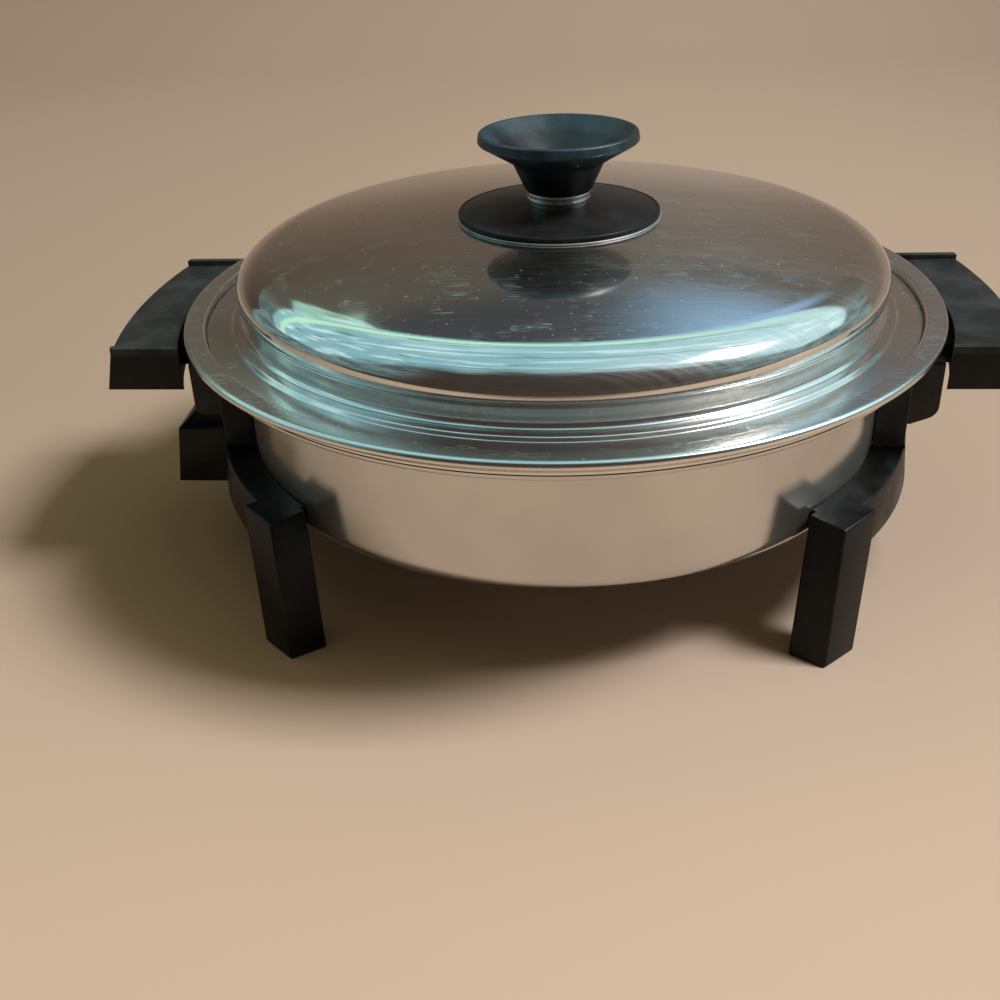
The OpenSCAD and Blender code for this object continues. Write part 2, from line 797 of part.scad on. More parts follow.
// A bar between the grip's two curved faces, from z0 up to z1
module grip_bar(z0, z1, flare) {
    e = grip_edge_r;
    back = grip_w + grip_half;
    sweep = 1.5 * asin(grip_half / grip_in_r);
    out_c = grip_out_x - grip_out_r;
    in_c = grip_x - grip_in_r;
    intersection() {
        translate([out_c, 0, 0]) sector(rounded([
            [grip_out_r - back, z0, 0],
            [grip_out_r + flare, z0, e],
            [grip_out_r, z1, e],
            [grip_out_r - back, z1, 0]
        ]), sweep);
        translate([in_c, 0, 0]) sector(rounded([
            [grip_in_r, z0, e],
            [grip_in_r + back, z0, 0],
            [grip_in_r + back, z1, 0],
            [grip_in_r, z1, e]
        ]), sweep);
    }
}

// A bar outline in Y and Z with rounded ends
function end_outline(y0, y1, z0, z1) = let (e = grip_end_r) rounded([
    [y0, z0, e], [y1, z0, e], [y1, z1, e], [y0, z1, e]
]);

module grip_hollow() {
    out_c = grip_out_x - grip_out_r;
    in_c = grip_x - grip_in_r;
    roof_z = grip_top_z - grip_roof;
    span = grip_half - grip_wall;
    difference() {
        intersection() {
            translate([out_c, 0, 0])
                bar_z(grip_out_r - grip_wall, grip_z - cut, roof_z);
            box(0, grip_out_x, span, grip_z - cut, roof_z);
        }
        translate([in_c, 0, 0])
            bar_z(grip_in_r + grip_wall, grip_z - 2 * cut, roof_z + cut);
        for (i = [-2:2]) translate([0, i * rib_pitch, 0])
            box(0, grip_out_x + cut, rib_w / 2, grip_z + 2, roof_z + cut);
    }
}

module grip() {
    ridge_low = grip_top_z - 2 * grip_edge_r - 1;
    difference() {
        union() {
            intersection() {
                grip_bar(grip_z, grip_top_z, grip_flare);
                along(end_outline(-grip_half, grip_half, grip_z, grip_top_z), 0, grip_out_x + 10);
            }
            both_sides() intersection() {
                grip_bar(ridge_low, grip_top_z + ridge_h, 0);
                along(rounded([
                    [grip_half - ridge_w, ridge_low, 0],
                    [grip_half, ridge_low, 0],
                    [grip_half, grip_top_z + ridge_h, 1],
                    [grip_half - ridge_w, grip_top_z + ridge_h, 1]
                ]), 0, grip_out_x + 10);
            }
            difference() {
                box(raw_r, grip_x + grip_wall, neck_half, block_z, neck_top_z);
                bar_z(frame_r, block_z - cut, neck_top_z + cut);
            }
        }
        grip_hollow();
        both_sides() bar_z(grip_screw_r + fit, block_z - cut, grip_screw_end_z + fit,
                           grip_screw_x, grip_screw_y);
    }
}

module grip_right() {
    color(black) grip();
}

module grip_left() {
    color(black) rotate([0, 0, 180]) grip();
}

module grip_screws() {
    color(steel) for (turn = [0, 180]) rotate([0, 0, turn]) both_sides() {
        bar_z(grip_screw_r, grip_screw_seat_z, grip_screw_end_z, grip_screw_x, grip_screw_y);
        bar_z(grip_screw_head_r, grip_screw_seat_z - grip_screw_head_h, grip_screw_seat_z,
              grip_screw_x, grip_screw_y);
    }
}

// ---- Brackets -------------------------------------------------------------

module bracket() {
    in_r = jacket_r + weld_gap;
    out_r = in_r + bracket_t;
    sector([
        [in_r, bracket_z - bracket_h / 2],
        [out_r, bracket_z - bracket_h / 2],
        [out_r, bracket_z + bracket_h / 2],
        [in_r, bracket_z + bracket_h / 2]
    ], bracket_a);
    difference() {
        both_sides() bar_x(stud_r, in_r - stud_r, stud_end_x, stud_y, bracket_z);
        bar_z((in_r + out_r) / 2, bracket_z - bracket_h, bracket_z + bracket_h);
    }
}

module bracket_right() {
    color(dull_steel) bracket();
}

module bracket_left() {
    color(dull_steel) rotate([0, 0, 180]) bracket();
}

module at_studs() {
    for (turn = [0, 180]) rotate([0, 0, turn]) both_sides()
        translate([nut_seat_x, stud_y, bracket_z]) rotate([0, 90, 0]) children();
}

module bracket_washers() {
    color(steel) at_studs() difference() {
        cylinder(h = washer_t, r = washer_r);
        translate([0, 0, -cut]) cylinder(h = washer_t + 2 * cut, r = stud_r + 2 * fit);
    }
}

module bracket_nuts() {
    color(steel) at_studs() translate([0, 0, washer_t]) difference() {
        cylinder(h = nut_t, r = nut_r, $fn = 6);
        translate([0, 0, -cut]) cylinder(h = nut_t + 2 * cut, r = stud_r + fit);
    }
}

// ---- Base stud ------------------------------------------------------------

module base_stud() {
    color(dull_steel) bar_z(base_stud_r, base_stud_end_z, spreader_z);
}

module base_spacer() {
    color(dull_steel) difference() {
        bar_z(base_spacer_r, jacket_floor_z, spreader_z);
        bar_z(base_stud_r + fit, jacket_floor_z - cut, spreader_z + cut);
    }
}

module base_nut() {
    color(steel) difference() {
        translate([0, 0, jacket_base_z - base_nut_h])
            cylinder(h = base_nut_h, r = base_nut_r, $fn = 6);
        bar_z(base_stud_r + fit, jacket_base_z - base_nut_h - cut, jacket_base_z + cut);
    }
}

// ---- Lid ------------------------------------------------------------------

module lid() {
    dome_steps = 10;
    dome = [
        for (i = [0:dome_steps]) let (r = land_r + (blend_r - land_r) * i / dome_steps)
            [r, dome_z(r)]
    ];
    shoulder = [
        for (a = [blend_a - 8:-8:1])
            [shoulder_r - shoulder_w * (1 - cos(a)), widest_z + shoulder_h * sin(a)]
    ];
    bead_z = lid_edge_z + lid_edge_h + bead_h;
    skirt = bent([
        [shoulder_r, widest_z],
        [shoulder_r, widest_z - shoulder_out - 2, lid_t + 1.5],
        [neck_r, widest_z - 2 * shoulder_out - 2, 2],
        [neck_r, bead_z + 0.6, 3],
        [flange_r, bead_z, lid_t + 0.3],
        [flange_r + 1.2, bead_z - bead_h / 2 - 0.3, 0.8],
        [lid_edge_r, lid_edge_z + lid_edge_h, lid_t + 0.15],
        [lid_edge_r, lid_edge_z]
    ]);
    skin = concat([[0, land_z]], dome, shoulder, skirt);
    color(steel) difference() {
        turned(sheet(skin, -lid_t));
        bar_z(knob_screw_r + 2 * fit, land_z - 2 * lid_t, land_z + cut);
    }
}

// ---- Knob -----------------------------------------------------------------

module knob_guard() {
    edge = 0.4;
    color(black) difference() {
        turned(rounded([
            [0, land_z, 0],
            [land_r - 1, land_z, 0],
            [land_r - 1, guard_z, 0],
            [guard_r, guard_z, 0],
            [guard_r, guard_top_z, edge],
            [guard_r - 1.2, guard_top_z, 0],
            [guard_r - 1.5, guard_top_z - 0.2, 0],
            [guard_r - 2, guard_top_z, 0],
            [0, guard_top_z, 0]
        ]));
        bar_z(knob_screw_r + 2 * fit, land_z - cut, guard_top_z + cut);
    }
}

module knob_guard_ring() {
    out_r = guard_r + guard_ring_out;
    color(steel) turned(rounded([
        [out_r - guard_ring_w, guard_z - guard_ring_t, 0],
        [out_r, guard_z - guard_ring_t, guard_ring_t / 2.5],
        [out_r, guard_z, guard_ring_t / 2.5],
        [out_r - guard_ring_w, guard_z, 0]
    ]));
}

module knob_ferrule() {
    groove = 0.5;
    step = ferrule_h / 10;
    z = guard_top_z;
    color(steel) turned([
        [knob_screw_r + 2 * fit, z],
        [ferrule_r - groove, z],
        [ferrule_r - groove, z + 2 * step],
        [ferrule_r, z + 2.6 * step],
        [ferrule_r, z + 4.4 * step],
        [ferrule_r - groove, z + 5 * step],
        [ferrule_r - groove, z + 6 * step],
        [ferrule_r + groove, z + 7 * step],
        [ferrule_r + groove, z + 9.4 * step],
        [ferrule_r, z + 10 * step],
        [knob_screw_r + 2 * fit, z + 10 * step]
    ]);
}

module knob() {
    top_z = knob_z + knob_h;
    floor_h = knob_z + knob_floor_h;
    bore_end_z = floor_h - 3;
    color(black) turned(rounded([
        [knob_screw_r + fit, knob_z, 0],
        [knob_foot_r, knob_z, 0.4],
        [knob_stem_r, knob_z + knob_stem_h, 6],
        [knob_r - 0.9, top_z - knob_band_h - 1.2, 1.2],
        [knob_r, top_z - knob_band_h + 1, 1],
        [knob_r - 0.8, top_z, 1],
        [knob_r - knob_wall, top_z, 0.9],
        [knob_floor_r, floor_h, 5],
        [0, floor_h, 0],
        [0, bore_end_z, 0],
        [knob_screw_r + fit, bore_end_z, 0]
    ]));
}

module knob_screw() {
    under_z = land_z - lid_t - knob_washer_t;
    color(steel) {
        bar_z(knob_screw_r, under_z, knob_z + knob_floor_h - 3.5);
        bar_z(knob_screw_head_r, under_z - knob_screw_head_h, under_z);
    }
}

module knob_washer() {
    top_z = land_z - lid_t;
    color(steel) difference() {
        bar_z(knob_washer_r, top_z - knob_washer_t, top_z);
        bar_z(knob_screw_r + 2 * fit, top_z - knob_washer_t - cut, top_z + cut);
    }
}

cooking_pan();
outer_jacket();
heat_spreader();
heating_element();
element_clips();
clip_screws();
thermostat_sleeve();
terminal_pins();
pin_insulators();
terminal_plate();
terminal_shroud();
shroud_screws();
leg_frame_left();
leg_frame_right();
grip_left();
grip_right();
bracket_left();
bracket_right();
bracket_washers();
bracket_nuts();
grip_screws();
base_stud();
base_spacer();
base_nut();
lid();
knob_guard();
knob_guard_ring();
knob_ferrule();
knob();
knob_screw();
knob_washer();
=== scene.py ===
"""Dresses the round electric skillet: spun steel pan, jacket and lid, moulded black knob, grips, leg frames
and socket, and a plain studio to stand it in. Every size is in metres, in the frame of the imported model."""

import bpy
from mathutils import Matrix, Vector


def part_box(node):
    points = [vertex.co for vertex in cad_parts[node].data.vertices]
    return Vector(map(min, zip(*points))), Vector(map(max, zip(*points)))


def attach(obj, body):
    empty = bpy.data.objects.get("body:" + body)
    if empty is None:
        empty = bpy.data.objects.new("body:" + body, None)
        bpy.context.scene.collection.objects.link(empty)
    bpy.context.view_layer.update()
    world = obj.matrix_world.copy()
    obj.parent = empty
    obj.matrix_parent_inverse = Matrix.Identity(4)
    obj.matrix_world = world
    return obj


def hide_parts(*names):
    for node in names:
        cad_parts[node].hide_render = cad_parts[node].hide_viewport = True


bl_info = {
    "name": "Round electric skillet",
    "version": (1, 0, 0),
    "blender": (4, 5, 0),
    "location": "View3D > Sidebar > Skillet",
    "description": "Models the steel and moulded parts of a round electric skillet over its CAD frame",
    "category": "Object",
}

import math

import bmesh
import bpy
from bpy.props import FloatProperty, FloatVectorProperty, IntProperty, PointerProperty
from mathutils import Matrix, Vector

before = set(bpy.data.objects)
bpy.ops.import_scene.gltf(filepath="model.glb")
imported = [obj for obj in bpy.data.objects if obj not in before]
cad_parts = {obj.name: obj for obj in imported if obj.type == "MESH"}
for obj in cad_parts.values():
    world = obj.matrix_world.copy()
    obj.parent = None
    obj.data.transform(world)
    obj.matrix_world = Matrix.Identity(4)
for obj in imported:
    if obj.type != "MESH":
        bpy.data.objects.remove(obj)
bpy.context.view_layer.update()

MM = 0.001
TURN = 2 * math.pi
MERGE = 1e-6
DOT = 0.001   # size of the plane that is merged to a first point

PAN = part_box("cooking_pan")
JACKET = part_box("outer_jacket")
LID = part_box("lid")
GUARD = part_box("knob_guard")
GUARD_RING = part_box("knob_guard_ring")
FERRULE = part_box("knob_ferrule")
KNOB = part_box("knob")
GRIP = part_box("grip_right")
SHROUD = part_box("terminal_shroud")
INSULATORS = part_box("pin_insulators")
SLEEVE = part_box("thermostat_sleeve")
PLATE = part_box("terminal_plate")
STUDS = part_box("bracket_right")
SOCKET_Z = (SLEEVE[0].z + SLEEVE[1].z) / 2
PLATE_X, SOCKET_FLOOR_X = -PLATE[1].x, -INSULATORS[0].x
LEG_INNER_A, LEG_OUTER_A = 38.3, 46.4   # degrees from the grip to the two sides of a leg at its top
POST_A = 16.5                           # degrees from the grip to the side of the post


# ---- Sizes and colours ----------------------------------------------------------

def length(name, description, default, low=0.0, high=0.5):
    return FloatProperty(name=name, description=description, default=default, min=low, max=high,
                         unit="LENGTH", precision=5)


def share(name, description, default):
    return FloatProperty(name=name, description=description, default=default, min=0.0, max=1.0,
                         subtype="FACTOR")


def colour(name, description, default):
    return FloatVectorProperty(name=name, description=description, default=default, size=3,
                               min=0.0, max=1.0, subtype="COLOR")


class SkilletMetal(bpy.types.PropertyGroup):
    """Sizes of the spun sheet steel"""
    wall_r: length("Cooking wall", "Inside radius of the cooking wall", 0.138)
    floor_z: length("Cooking floor", "Height of the cooking floor", PAN[0].z + 0.0009)
    floor_bend: length("Floor bend", "Inside bend between wall and cooking floor", 0.014)
    pan_sheet: length("Pan sheet", "Thickness of the pan", 0.0009)
    jacket_sheet: length("Jacket sheet", "Thickness of the outer jacket", 0.0006)
    lid_sheet: length("Lid sheet", "Thickness of the lid", 0.0009)
    ledge_w: length("Ledge", "Width of the ledge that the lid sits on", 0.018)
    ledge_drop: length("Ledge drop", "Drop from the rim to the ledge", 0.005)
    seam_z: length("Seam", "Height of the seam between pan and jacket", JACKET[1].z)
    seam_r: length("Seam radius", "Radius of the seam between pan and jacket", JACKET[1].x)
    jacket_r: length("Jacket wall", "Outside radius of the jacket", 0.1415)
    jacket_bend: length("Jacket bend", "Bend between the jacket's wall and floor", 0.0063)
    shoulder_r: length("Lid shoulder", "Greatest radius of the lid's rounded shoulder", 0.141)
    shoulder_w: length("Shoulder width", "Width of the lid's rounded shoulder", 0.022)
    shoulder_h: length("Shoulder height", "Height of the lid's rounded shoulder", 0.0135)
    widest_z: length("Shoulder level", "Height of the widest part of the shoulder", PAN[1].z + 0.0131)
    neck_r: length("Lid neck", "Radius of the lid's neck", 0.139)
    bead_r: length("Lid bead", "Radius of the raised bead round the neck", 0.1442)
    segments: IntProperty(name="Segments", description="Steps round each spun part", default=192,
                          min=48, max=256)


class SkilletMouldings(bpy.types.PropertyGroup):
    """Sizes of the moulded black parts"""
    edge: length("Edge", "Radius of the moulded edges of the grips", 0.0015)
    frame_edge: length("Frame edge", "Radius of the moulded edges of the leg frames", 0.0009)
    wall_r: length("Wall", "Radius that the frames are cut to", 0.1418)
    band_r: length("Band", "Outer radius of the ring band at its top", 0.155)
    band_top: length("Band top", "Height of the top of the ring band", 0.0575)
    band_h: length("Band height", "Height of the ring band", 0.0195)
    draft: length("Draft", "Draft of the ring band at its bottom", 0.002)
    post_half: length("Post", "Half the width of the post on the wall", 0.044)
    gusset_half: length("Gusset", "Half the width of the gusset", 0.032)
    gusset_x: length("Gusset reach", "Distance of the gusset's outer face from the axis", 0.1645)
    neck_low: length("Neck", "Height of the joint between grip and post", 0.090)
    foot_r: length("Foot", "Outer radius of the foot", 0.166)
    grip_in_r: length("Grip inside", "Plan radius of the grip's inner face", 0.172)
    grip_out_r: length("Grip outside", "Plan radius of the grip's outer face", 0.283)
    grip_flare: length("Grip flare", "Flare of the outer face at the bottom", 0.0038)
    ridge_w: length("Ridge", "Width of the raised ridge at each end of a grip", 0.0035)
    ridge_h: length("Ridge height", "Height of the raised ridge", 0.0025)
    grip_wall: length("Grip wall", "Wall left round the hollow under a grip", 0.004)


class SkilletFinish(bpy.types.PropertyGroup):
    """Colours and surface finish"""
    steel: colour("Steel", "Colour of the stainless steel", (0.70, 0.69, 0.67))
    aluminium: colour("Aluminium", "Colour of the heat spreader", (0.62, 0.62, 0.62))
    black: colour("Black moulding", "Colour of the moulded phenolic", (0.0022, 0.0022, 0.0024))
    # the wear colour is also the colour of the painted sheen on the mouldings' tops
    dust: colour("Wear", "Colour that the black takes where it is rubbed", (0.030, 0.034, 0.036))
    # the knob's wear colour is dust tinted blue as a painted reflection of the sky
    knob_dust_and_sky_tint: colour("Knob wear", "Colour that the knob takes where it is rubbed", (0.014, 0.040, 0.060))
    ceramic: colour("Ceramic", "Colour of the pin insulators", (0.72, 0.68, 0.60))
    floor: colour("Floor", "Colour of the floor and backdrop", (0.570, 0.455, 0.375))
    sky_left: colour("Sky, left", "Light of the glass roof over the left side", (0.31, 0.65, 0.73))
    sky_right: colour("Sky, right", "Light of the glass roof over the right side", (0.60, 0.92, 1.0))
    lid_gloss: share("Lid roughness", "Roughness of the polished lid", 0.06)
    jacket_gloss: share("Jacket roughness", "Roughness of the satin jacket", 0.10)
    black_gloss: share("Black roughness", "Roughness of the black mouldings", 0.36)


# ---- Curves ------------------------------------------------------------------------

def arc(centre, radius, start, end, steps):
    """Points on a circle, from the angle start to the angle end"""
    turn = (end - start) / steps
    return [(centre[0] + radius * math.cos(start + turn * i), centre[1] + radius * math.sin(start + turn * i))
            for i in range(steps + 1)]


def bend(before, corner, after, radius, steps):
    """The round bend that takes the place of a corner"""
    to_before = (Vector(before) - Vector(corner)).normalized()
    to_after = (Vector(after) - Vector(corner)).normalized()
    half = to_before.angle(to_after) / 2
    reach = radius / math.tan(half)
    centre = Vector(corner) + (to_before + to_after).normalized() * (radius / math.sin(half))
    first = Vector(corner) + to_before * reach - centre
    last = Vector(corner) + to_after * reach - centre
    start = math.atan2(first.y, first.x)
    turn = (math.atan2(last.y, last.x) - start + 3 * math.pi) % TURN - math.pi
    return arc(centre, radius, start, start + turn, steps)


def bent(vertices, closed=False, steps=7):
    """A path through (radius, height, bend radius); a vertex without a bend stays sharp"""
    path, count = [], len(vertices)
    for i, vertex in enumerate(vertices):
        sharp = len(vertex) == 2 or (not closed and i in (0, count - 1))
        path += [vertex[:2]] if sharp else bend(vertices[i - 1][:2], vertex[:2],
                                                vertices[(i + 1) % count][:2], vertex[2], steps)
    return path


def with_support(path, gap):
    """The path with a point on every long stretch near each of its ends, so shading stays tight"""
    full = [path[0]]
    for here, there in zip(path, path[1:]):
        stretch = Vector(there) - Vector(here)
        if stretch.length > 3 * gap:
            step = stretch.normalized() * gap
            full += [tuple(Vector(here) + step), tuple(Vector(there) - step)]
        full.append(there)
    return full


# ---- Modelling ---------------------------------------------------------------------

def deselect():
    if bpy.context.object and bpy.context.object.mode == "EDIT":
        bpy.ops.object.mode_set(mode="OBJECT")
    bpy.ops.object.select_all(action="DESELECT")


def active(piece):
    deselect()
    piece.select_set(True)
    bpy.context.view_layer.objects.active = piece
    return piece


def edit(piece):
    active(piece)
    bpy.ops.object.mode_set(mode="EDIT")
    bpy.ops.mesh.select_mode(type="VERT")


def done():
    bpy.ops.object.mode_set(mode="OBJECT")


def choose(verts=None, edges=None, faces=None):
    """Selects what the test accepts in the mesh being edited, and nothing else"""
    mesh = bpy.context.object.data
    shape = bmesh.from_edit_mesh(mesh)
    kind = "VERT" if verts else "EDGE" if edges else "FACE"
    bpy.ops.mesh.select_mode(type=kind)
    for v in shape.verts:
        v.select = False
    for e in shape.edges:
        e.select = False
    for f in shape.faces:
        f.select = False
    found = 0
    for item in shape.verts if verts else shape.edges if edges else shape.faces:
        if (verts or edges or faces)(item):
            item.select_set(True)
            found += 1
    shape.select_flush_mode()
    bmesh.update_edit_mesh(mesh)
    if not found:
        raise RuntimeError("nothing was selected on " + bpy.context.object.name)
    return found


def choose_all():
    bpy.ops.mesh.select_all(action="SELECT")


def shift(x=0.0, y=0.0, z=0.0):
    bpy.ops.transform.translate(value=(x, y, z))


def extrude(by):
    bpy.ops.mesh.extrude_region_move(TRANSFORM_OT_translate={"value": by})


def primitive(name, kind="cube", **settings):
    deselect()
    getattr(bpy.ops.mesh, f"primitive_{kind}_add")(**settings)
    piece = bpy.context.object
    piece.name = piece.data.name = name
    bpy.ops.object.transform_apply(location=True, rotation=True, scale=True)
    return piece


def block(name, low, high):
    """A box between two corners, ready to be shaped"""
    low, high = Vector(low), Vector(high)
    return primitive(name, "cube", size=1, location=(low + high) / 2, scale=high - low)


def tidy_mesh(piece):
    edit(piece)
    choose_all()
    bpy.ops.mesh.remove_doubles(threshold=MERGE)
    bpy.ops.mesh.normals_make_consistent(inside=False)
    done()
    return piece


def started(name, place):
    """A new piece that is one selected point, in edit mode"""
    piece = primitive(name, "plane", size=DOT)
    edit(piece)
    choose_all()
    bpy.ops.mesh.merge(type="CENTER")
    bpy.ops.transform.translate(value=place)
    return piece


def drawn(name, points):
    """A new piece drawn from point to point, in edit mode"""
    piece = started(name, points[0])
    for here, there in zip(points, points[1:]):
        extrude(there - here)
    choose_all()
    return piece


def spun(name, path, closed, segments):
    """A path in radius and height, drawn point by point and spun about the axis"""
    points = [Vector((r, 0, z)) for r, z in path]
    piece = drawn(name, points + points[:1] if closed else points)
    bpy.ops.mesh.spin(steps=segments, angle=TURN, center=(0, 0, 0), axis=(0, 0, 1))
    done()
    return tidy_mesh(piece)


def face_out(piece, up=True):
    """Turns an open spun skin so that its topmost faces look up, or its lowest ones down"""
    sign = 1 if up else -1
    last = max(piece.data.polygons, key=lambda f: sign * f.center.z)
    if sign * last.normal.z < 0:
        edit(piece)
        choose_all()
        bpy.ops.mesh.flip_normals()
        done()
    return piece


def apply_modifier(piece, kind, **settings):
    active(piece)
    bpy.ops.object.modifier_add(type=kind)
    modifier = piece.modifiers[-1]
    for key, value in settings.items():
        setattr(modifier, key, value)
    bpy.ops.object.modifier_apply(modifier=modifier.name)
    return piece


def thicken(piece, thickness):
    return apply_modifier(piece, "SOLIDIFY", thickness=thickness, offset=-1, use_even_offset=True)


def rounded_edges(piece, width, steps=3, angle=30):
    return apply_modifier(piece, "BEVEL", width=width, segments=steps, limit_method="ANGLE",
                          angle_limit=math.radians(angle), use_clamp_overlap=True)


def carve(piece, tool, operation="DIFFERENCE"):
    """Cuts a tool out of a piece, or adds it on, and throws the tool away"""
    apply_modifier(piece, "BOOLEAN", object=tool, operation=operation, solver="EXACT")
    bpy.data.objects.remove(tool)
    return piece


def smooth(piece, angle=34):
    active(piece)
    bpy.ops.object.shade_smooth_by_angle(angle=math.radians(angle), keep_sharp_edges=False)
    return piece


def joined(name, pieces):
    deselect()
    for piece in pieces:
        piece.select_set(True)
    bpy.context.view_layer.objects.active = pieces[0]
    bpy.ops.object.join()
    pieces[0].name = pieces[0].data.name = name
    return pieces[0]


def turned_over(piece, name):
    """Turns a piece half round the axis, to the left-hand side"""
    active(piece)
    piece.name = piece.data.name = name
    piece.rotation_euler = (0, 0, math.pi)
    bpy.ops.object.transform_apply(location=True, rotation=True, scale=True)
    return piece


def turned_copy(piece, name):
    """A copy with its own mesh for the left-hand side"""
    active(piece)
    bpy.ops.object.duplicate()
    return turned_over(bpy.context.object, name)


def bore(radius, low, high, along="Z", sides=48):
    """A round bar between two points, to cut a hole with"""
    low, high = Vector(low), Vector(high)
    turn = {"Z": (0, 0, 0), "X": (0, math.pi / 2, 0)}[along]
    return primitive("bore", "cylinder", vertices=sides, radius=radius, depth=(high - low).length,
                     location=(low + high) / 2, rotation=turn)


def two_arcs(name, inner, outer, half, low, high, steps=24):
    """A bar between two walls curved in plan, each (centre x, radius), cut square at y = ±half"""
    for k, (centre, radius) in enumerate((inner, outer)):
        swing = math.asin(half / radius)
        start = Vector((centre + radius * math.cos(swing), -half, low))
        if k == 0:
            piece = started(name, start)
        else:
            bpy.ops.mesh.primitive_plane_add(size=DOT)
            bpy.ops.mesh.merge(type="CENTER")
            vert = [v for v in bmesh.from_edit_mesh(piece.data).verts if v.select][0]
            bpy.ops.transform.translate(value=start - vert.co)
        bpy.ops.mesh.spin(steps=steps, angle=2 * swing, center=(centre, 0, low), axis=(0, 0, -1))
    choose_all()
    bpy.ops.mesh.bridge_edge_loops()
    choose_all()
    extrude((0, 0, high - low))
    done()
    return tidy_mesh(piece)


def sliced(piece, place, normal):
    """Adds a loop of edges where a plane crosses the piece"""
    edit(piece)
    choose_all()
    bpy.ops.mesh.bisect(plane_co=place, plane_no=normal)
    done()
    return piece


def near(value, target, slack=2e-5):
    return abs(value - target) < slack


def give(piece, finish, body, *nodes):
    """Hands a finished piece its material and the body it rides on, and hides the CAD nodes it stands for"""
    piece.data.materials.clear()
    piece.data.materials.append(finish)
    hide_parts(*nodes)
    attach(piece, body)
    return piece


# ---- Materials ---------------------------------------------------------------------

class Value:
    """A socket of a shader, with arithmetic on it"""

    def __init__(self, finish, socket):
        self.finish, self.socket = finish, socket

    def sum(self, operation, *others):
        values = {i: v for i, v in enumerate((self, *others))}
        return self.finish.node("ShaderNodeMath", {"operation": operation}, values)

    def __add__(self, other):
        return self.sum("ADD", other)

    def __sub__(self, other):
        return self.sum("SUBTRACT", other)

    def __rsub__(self, other):
        return (self * -1) + other

    def __mul__(self, other):
        return self.sum("MULTIPLY", other)

    __radd__, __rmul__ = __add__, __mul__

    def __truediv__(self, other):
        return self.sum("DIVIDE", other)

    def size(self):
        return self.sum("ABSOLUTE")

    def clamped(self):
        return self.finish.node("ShaderNodeClamp", {}, {"Value": self})

    def ramp(self, low, high, start=0.0, end=1.0):
        """Runs smoothly from start to end as the value goes from low to high"""
        return self.finish.node("ShaderNodeMapRange", {"interpolation_type": "SMOOTHSTEP"}, {
            "Value": self, "From Min": low, "From Max": high, "To Min": start, "To Max": end})


class Shading:
    """A shader built node by node on one set of coordinates"""

    def __init__(self, owner, shader, coordinates):
        owner.use_nodes = True
        self.tree = owner.node_tree
        self.shader = self.tree.nodes[shader]
        self.place = self.node("ShaderNodeTexCoord", out=coordinates)

    def node(self, kind, settings=None, values=None, out=0):
        made = self.tree.nodes.new(kind)
        for key, value in (settings or {}).items():
            if key == "stops":
                for element, (position, tone) in zip(made.color_ramp.elements, value):
                    element.position, element.color = position, (*tone, 1)
            else:
                setattr(made, key, value)
        for key, value in (values or {}).items():
            if isinstance(value, Value):
                self.tree.links.new(value.socket, made.inputs[key])
            else:
                made.inputs[key].default_value = value
        return Value(self, made.outputs[out])

    def put(self, **values):
        """Sets the shader's sockets, named with _ for a space"""
        for key, value in values.items():
            socket = self.shader.inputs[key.replace("_", " ")]
            if isinstance(value, Value):
                self.tree.links.new(value.socket, socket)
            else:
                socket.default_value = (*value, 1) if isinstance(value, tuple) and len(value) == 3 else value
        return self

    def spot(self):
        """The three parts of the coordinates"""
        parts = self.tree.nodes.new("ShaderNodeSeparateXYZ")
        self.tree.links.new(self.place.socket, parts.inputs[0])
        return tuple(Value(self, parts.outputs[i]) for i in range(3))

    def noise(self, size, detail=3.0, roughness=0.55, stretch=(1, 1, 1), turn=(0, 0, 0)):
        """Noise whose patches are about size across, longer where stretch is more"""
        place = self.node("ShaderNodeMapping", {}, {
            "Vector": self.place, "Rotation": turn, "Scale": tuple(1 / (size * s) for s in stretch)})
        return self.node("ShaderNodeTexNoise", {}, {
            "Vector": place, "Scale": 1.0, "Detail": detail, "Roughness": roughness}, out="Fac")

    def mix(self, amount, first, second):
        """A colour between two others"""
        made = self.tree.nodes.new("ShaderNodeMix")
        made.data_type = "RGBA"
        sockets = [s for s in made.inputs if s.enabled]
        for socket, value in zip(sockets, (amount, first, second)):
            if isinstance(value, Value):
                self.tree.links.new(value.socket, socket)
            else:
                socket.default_value = (*value, 1) if isinstance(value, tuple) else value
        return Value(self, [s for s in made.outputs if s.enabled][0])


class Finish(Shading):
    """A material with a Principled shader, on object coordinates"""

    def __init__(self, name):
        self.material = bpy.data.materials.new(name)
        self.material.use_nodes = True
        super().__init__(self.material, "Principled BSDF", "Object")

    def axis(self):
        """Distance from the vertical axis, and the height"""
        x, y, z = self.spot()
        return (x * x + y * y).sum("SQRT"), z

    def rings(self, pitch, detail=4.0):
        """Fine turning marks that run round the axis"""
        radius, height = self.axis()
        across = self.node("ShaderNodeCombineXYZ", {}, {
            "X": radius * (1 / pitch), "Y": height * (1 / pitch), "Z": 0.0})
        return self.node("ShaderNodeTexNoise", {}, {
            "Vector": across, "Scale": 1.0, "Detail": detail, "Roughness": 0.6}, out="Fac")

    def scratches(self, turn, length_m, pitch, width, cover, tilt=0.0):
        """Long thin marks along one direction, broken up into strokes"""
        lines = self.noise(pitch, 1.0, 0.4, (length_m / pitch, 1, length_m / pitch), (tilt, 0, turn))
        line = (lines - 0.5).size().ramp(0.0, width, 1.0, 0.0)
        broken = self.noise(length_m * 0.5, 2.0, 0.6, turn=(0, 0, turn + 0.7)).ramp(cover, cover + 0.06)
        return line * broken

    def beside(self, radius, width):
        """1 everywhere but within width of one distance from the axis, where the walls stand"""
        return (self.axis()[0] - radius).size().ramp(width * 0.7, width)

    def relief(self, height, depth, strength=1.0):
        """A bump of a height from 0 to 1, depth metres deep"""
        return self.node("ShaderNodeBump", {}, {
            "Strength": strength, "Distance": depth, "Height": height}, out="Normal")


def tone(colour_value, factor):
    return tuple(min(1.0, c * factor) for c in colour_value)


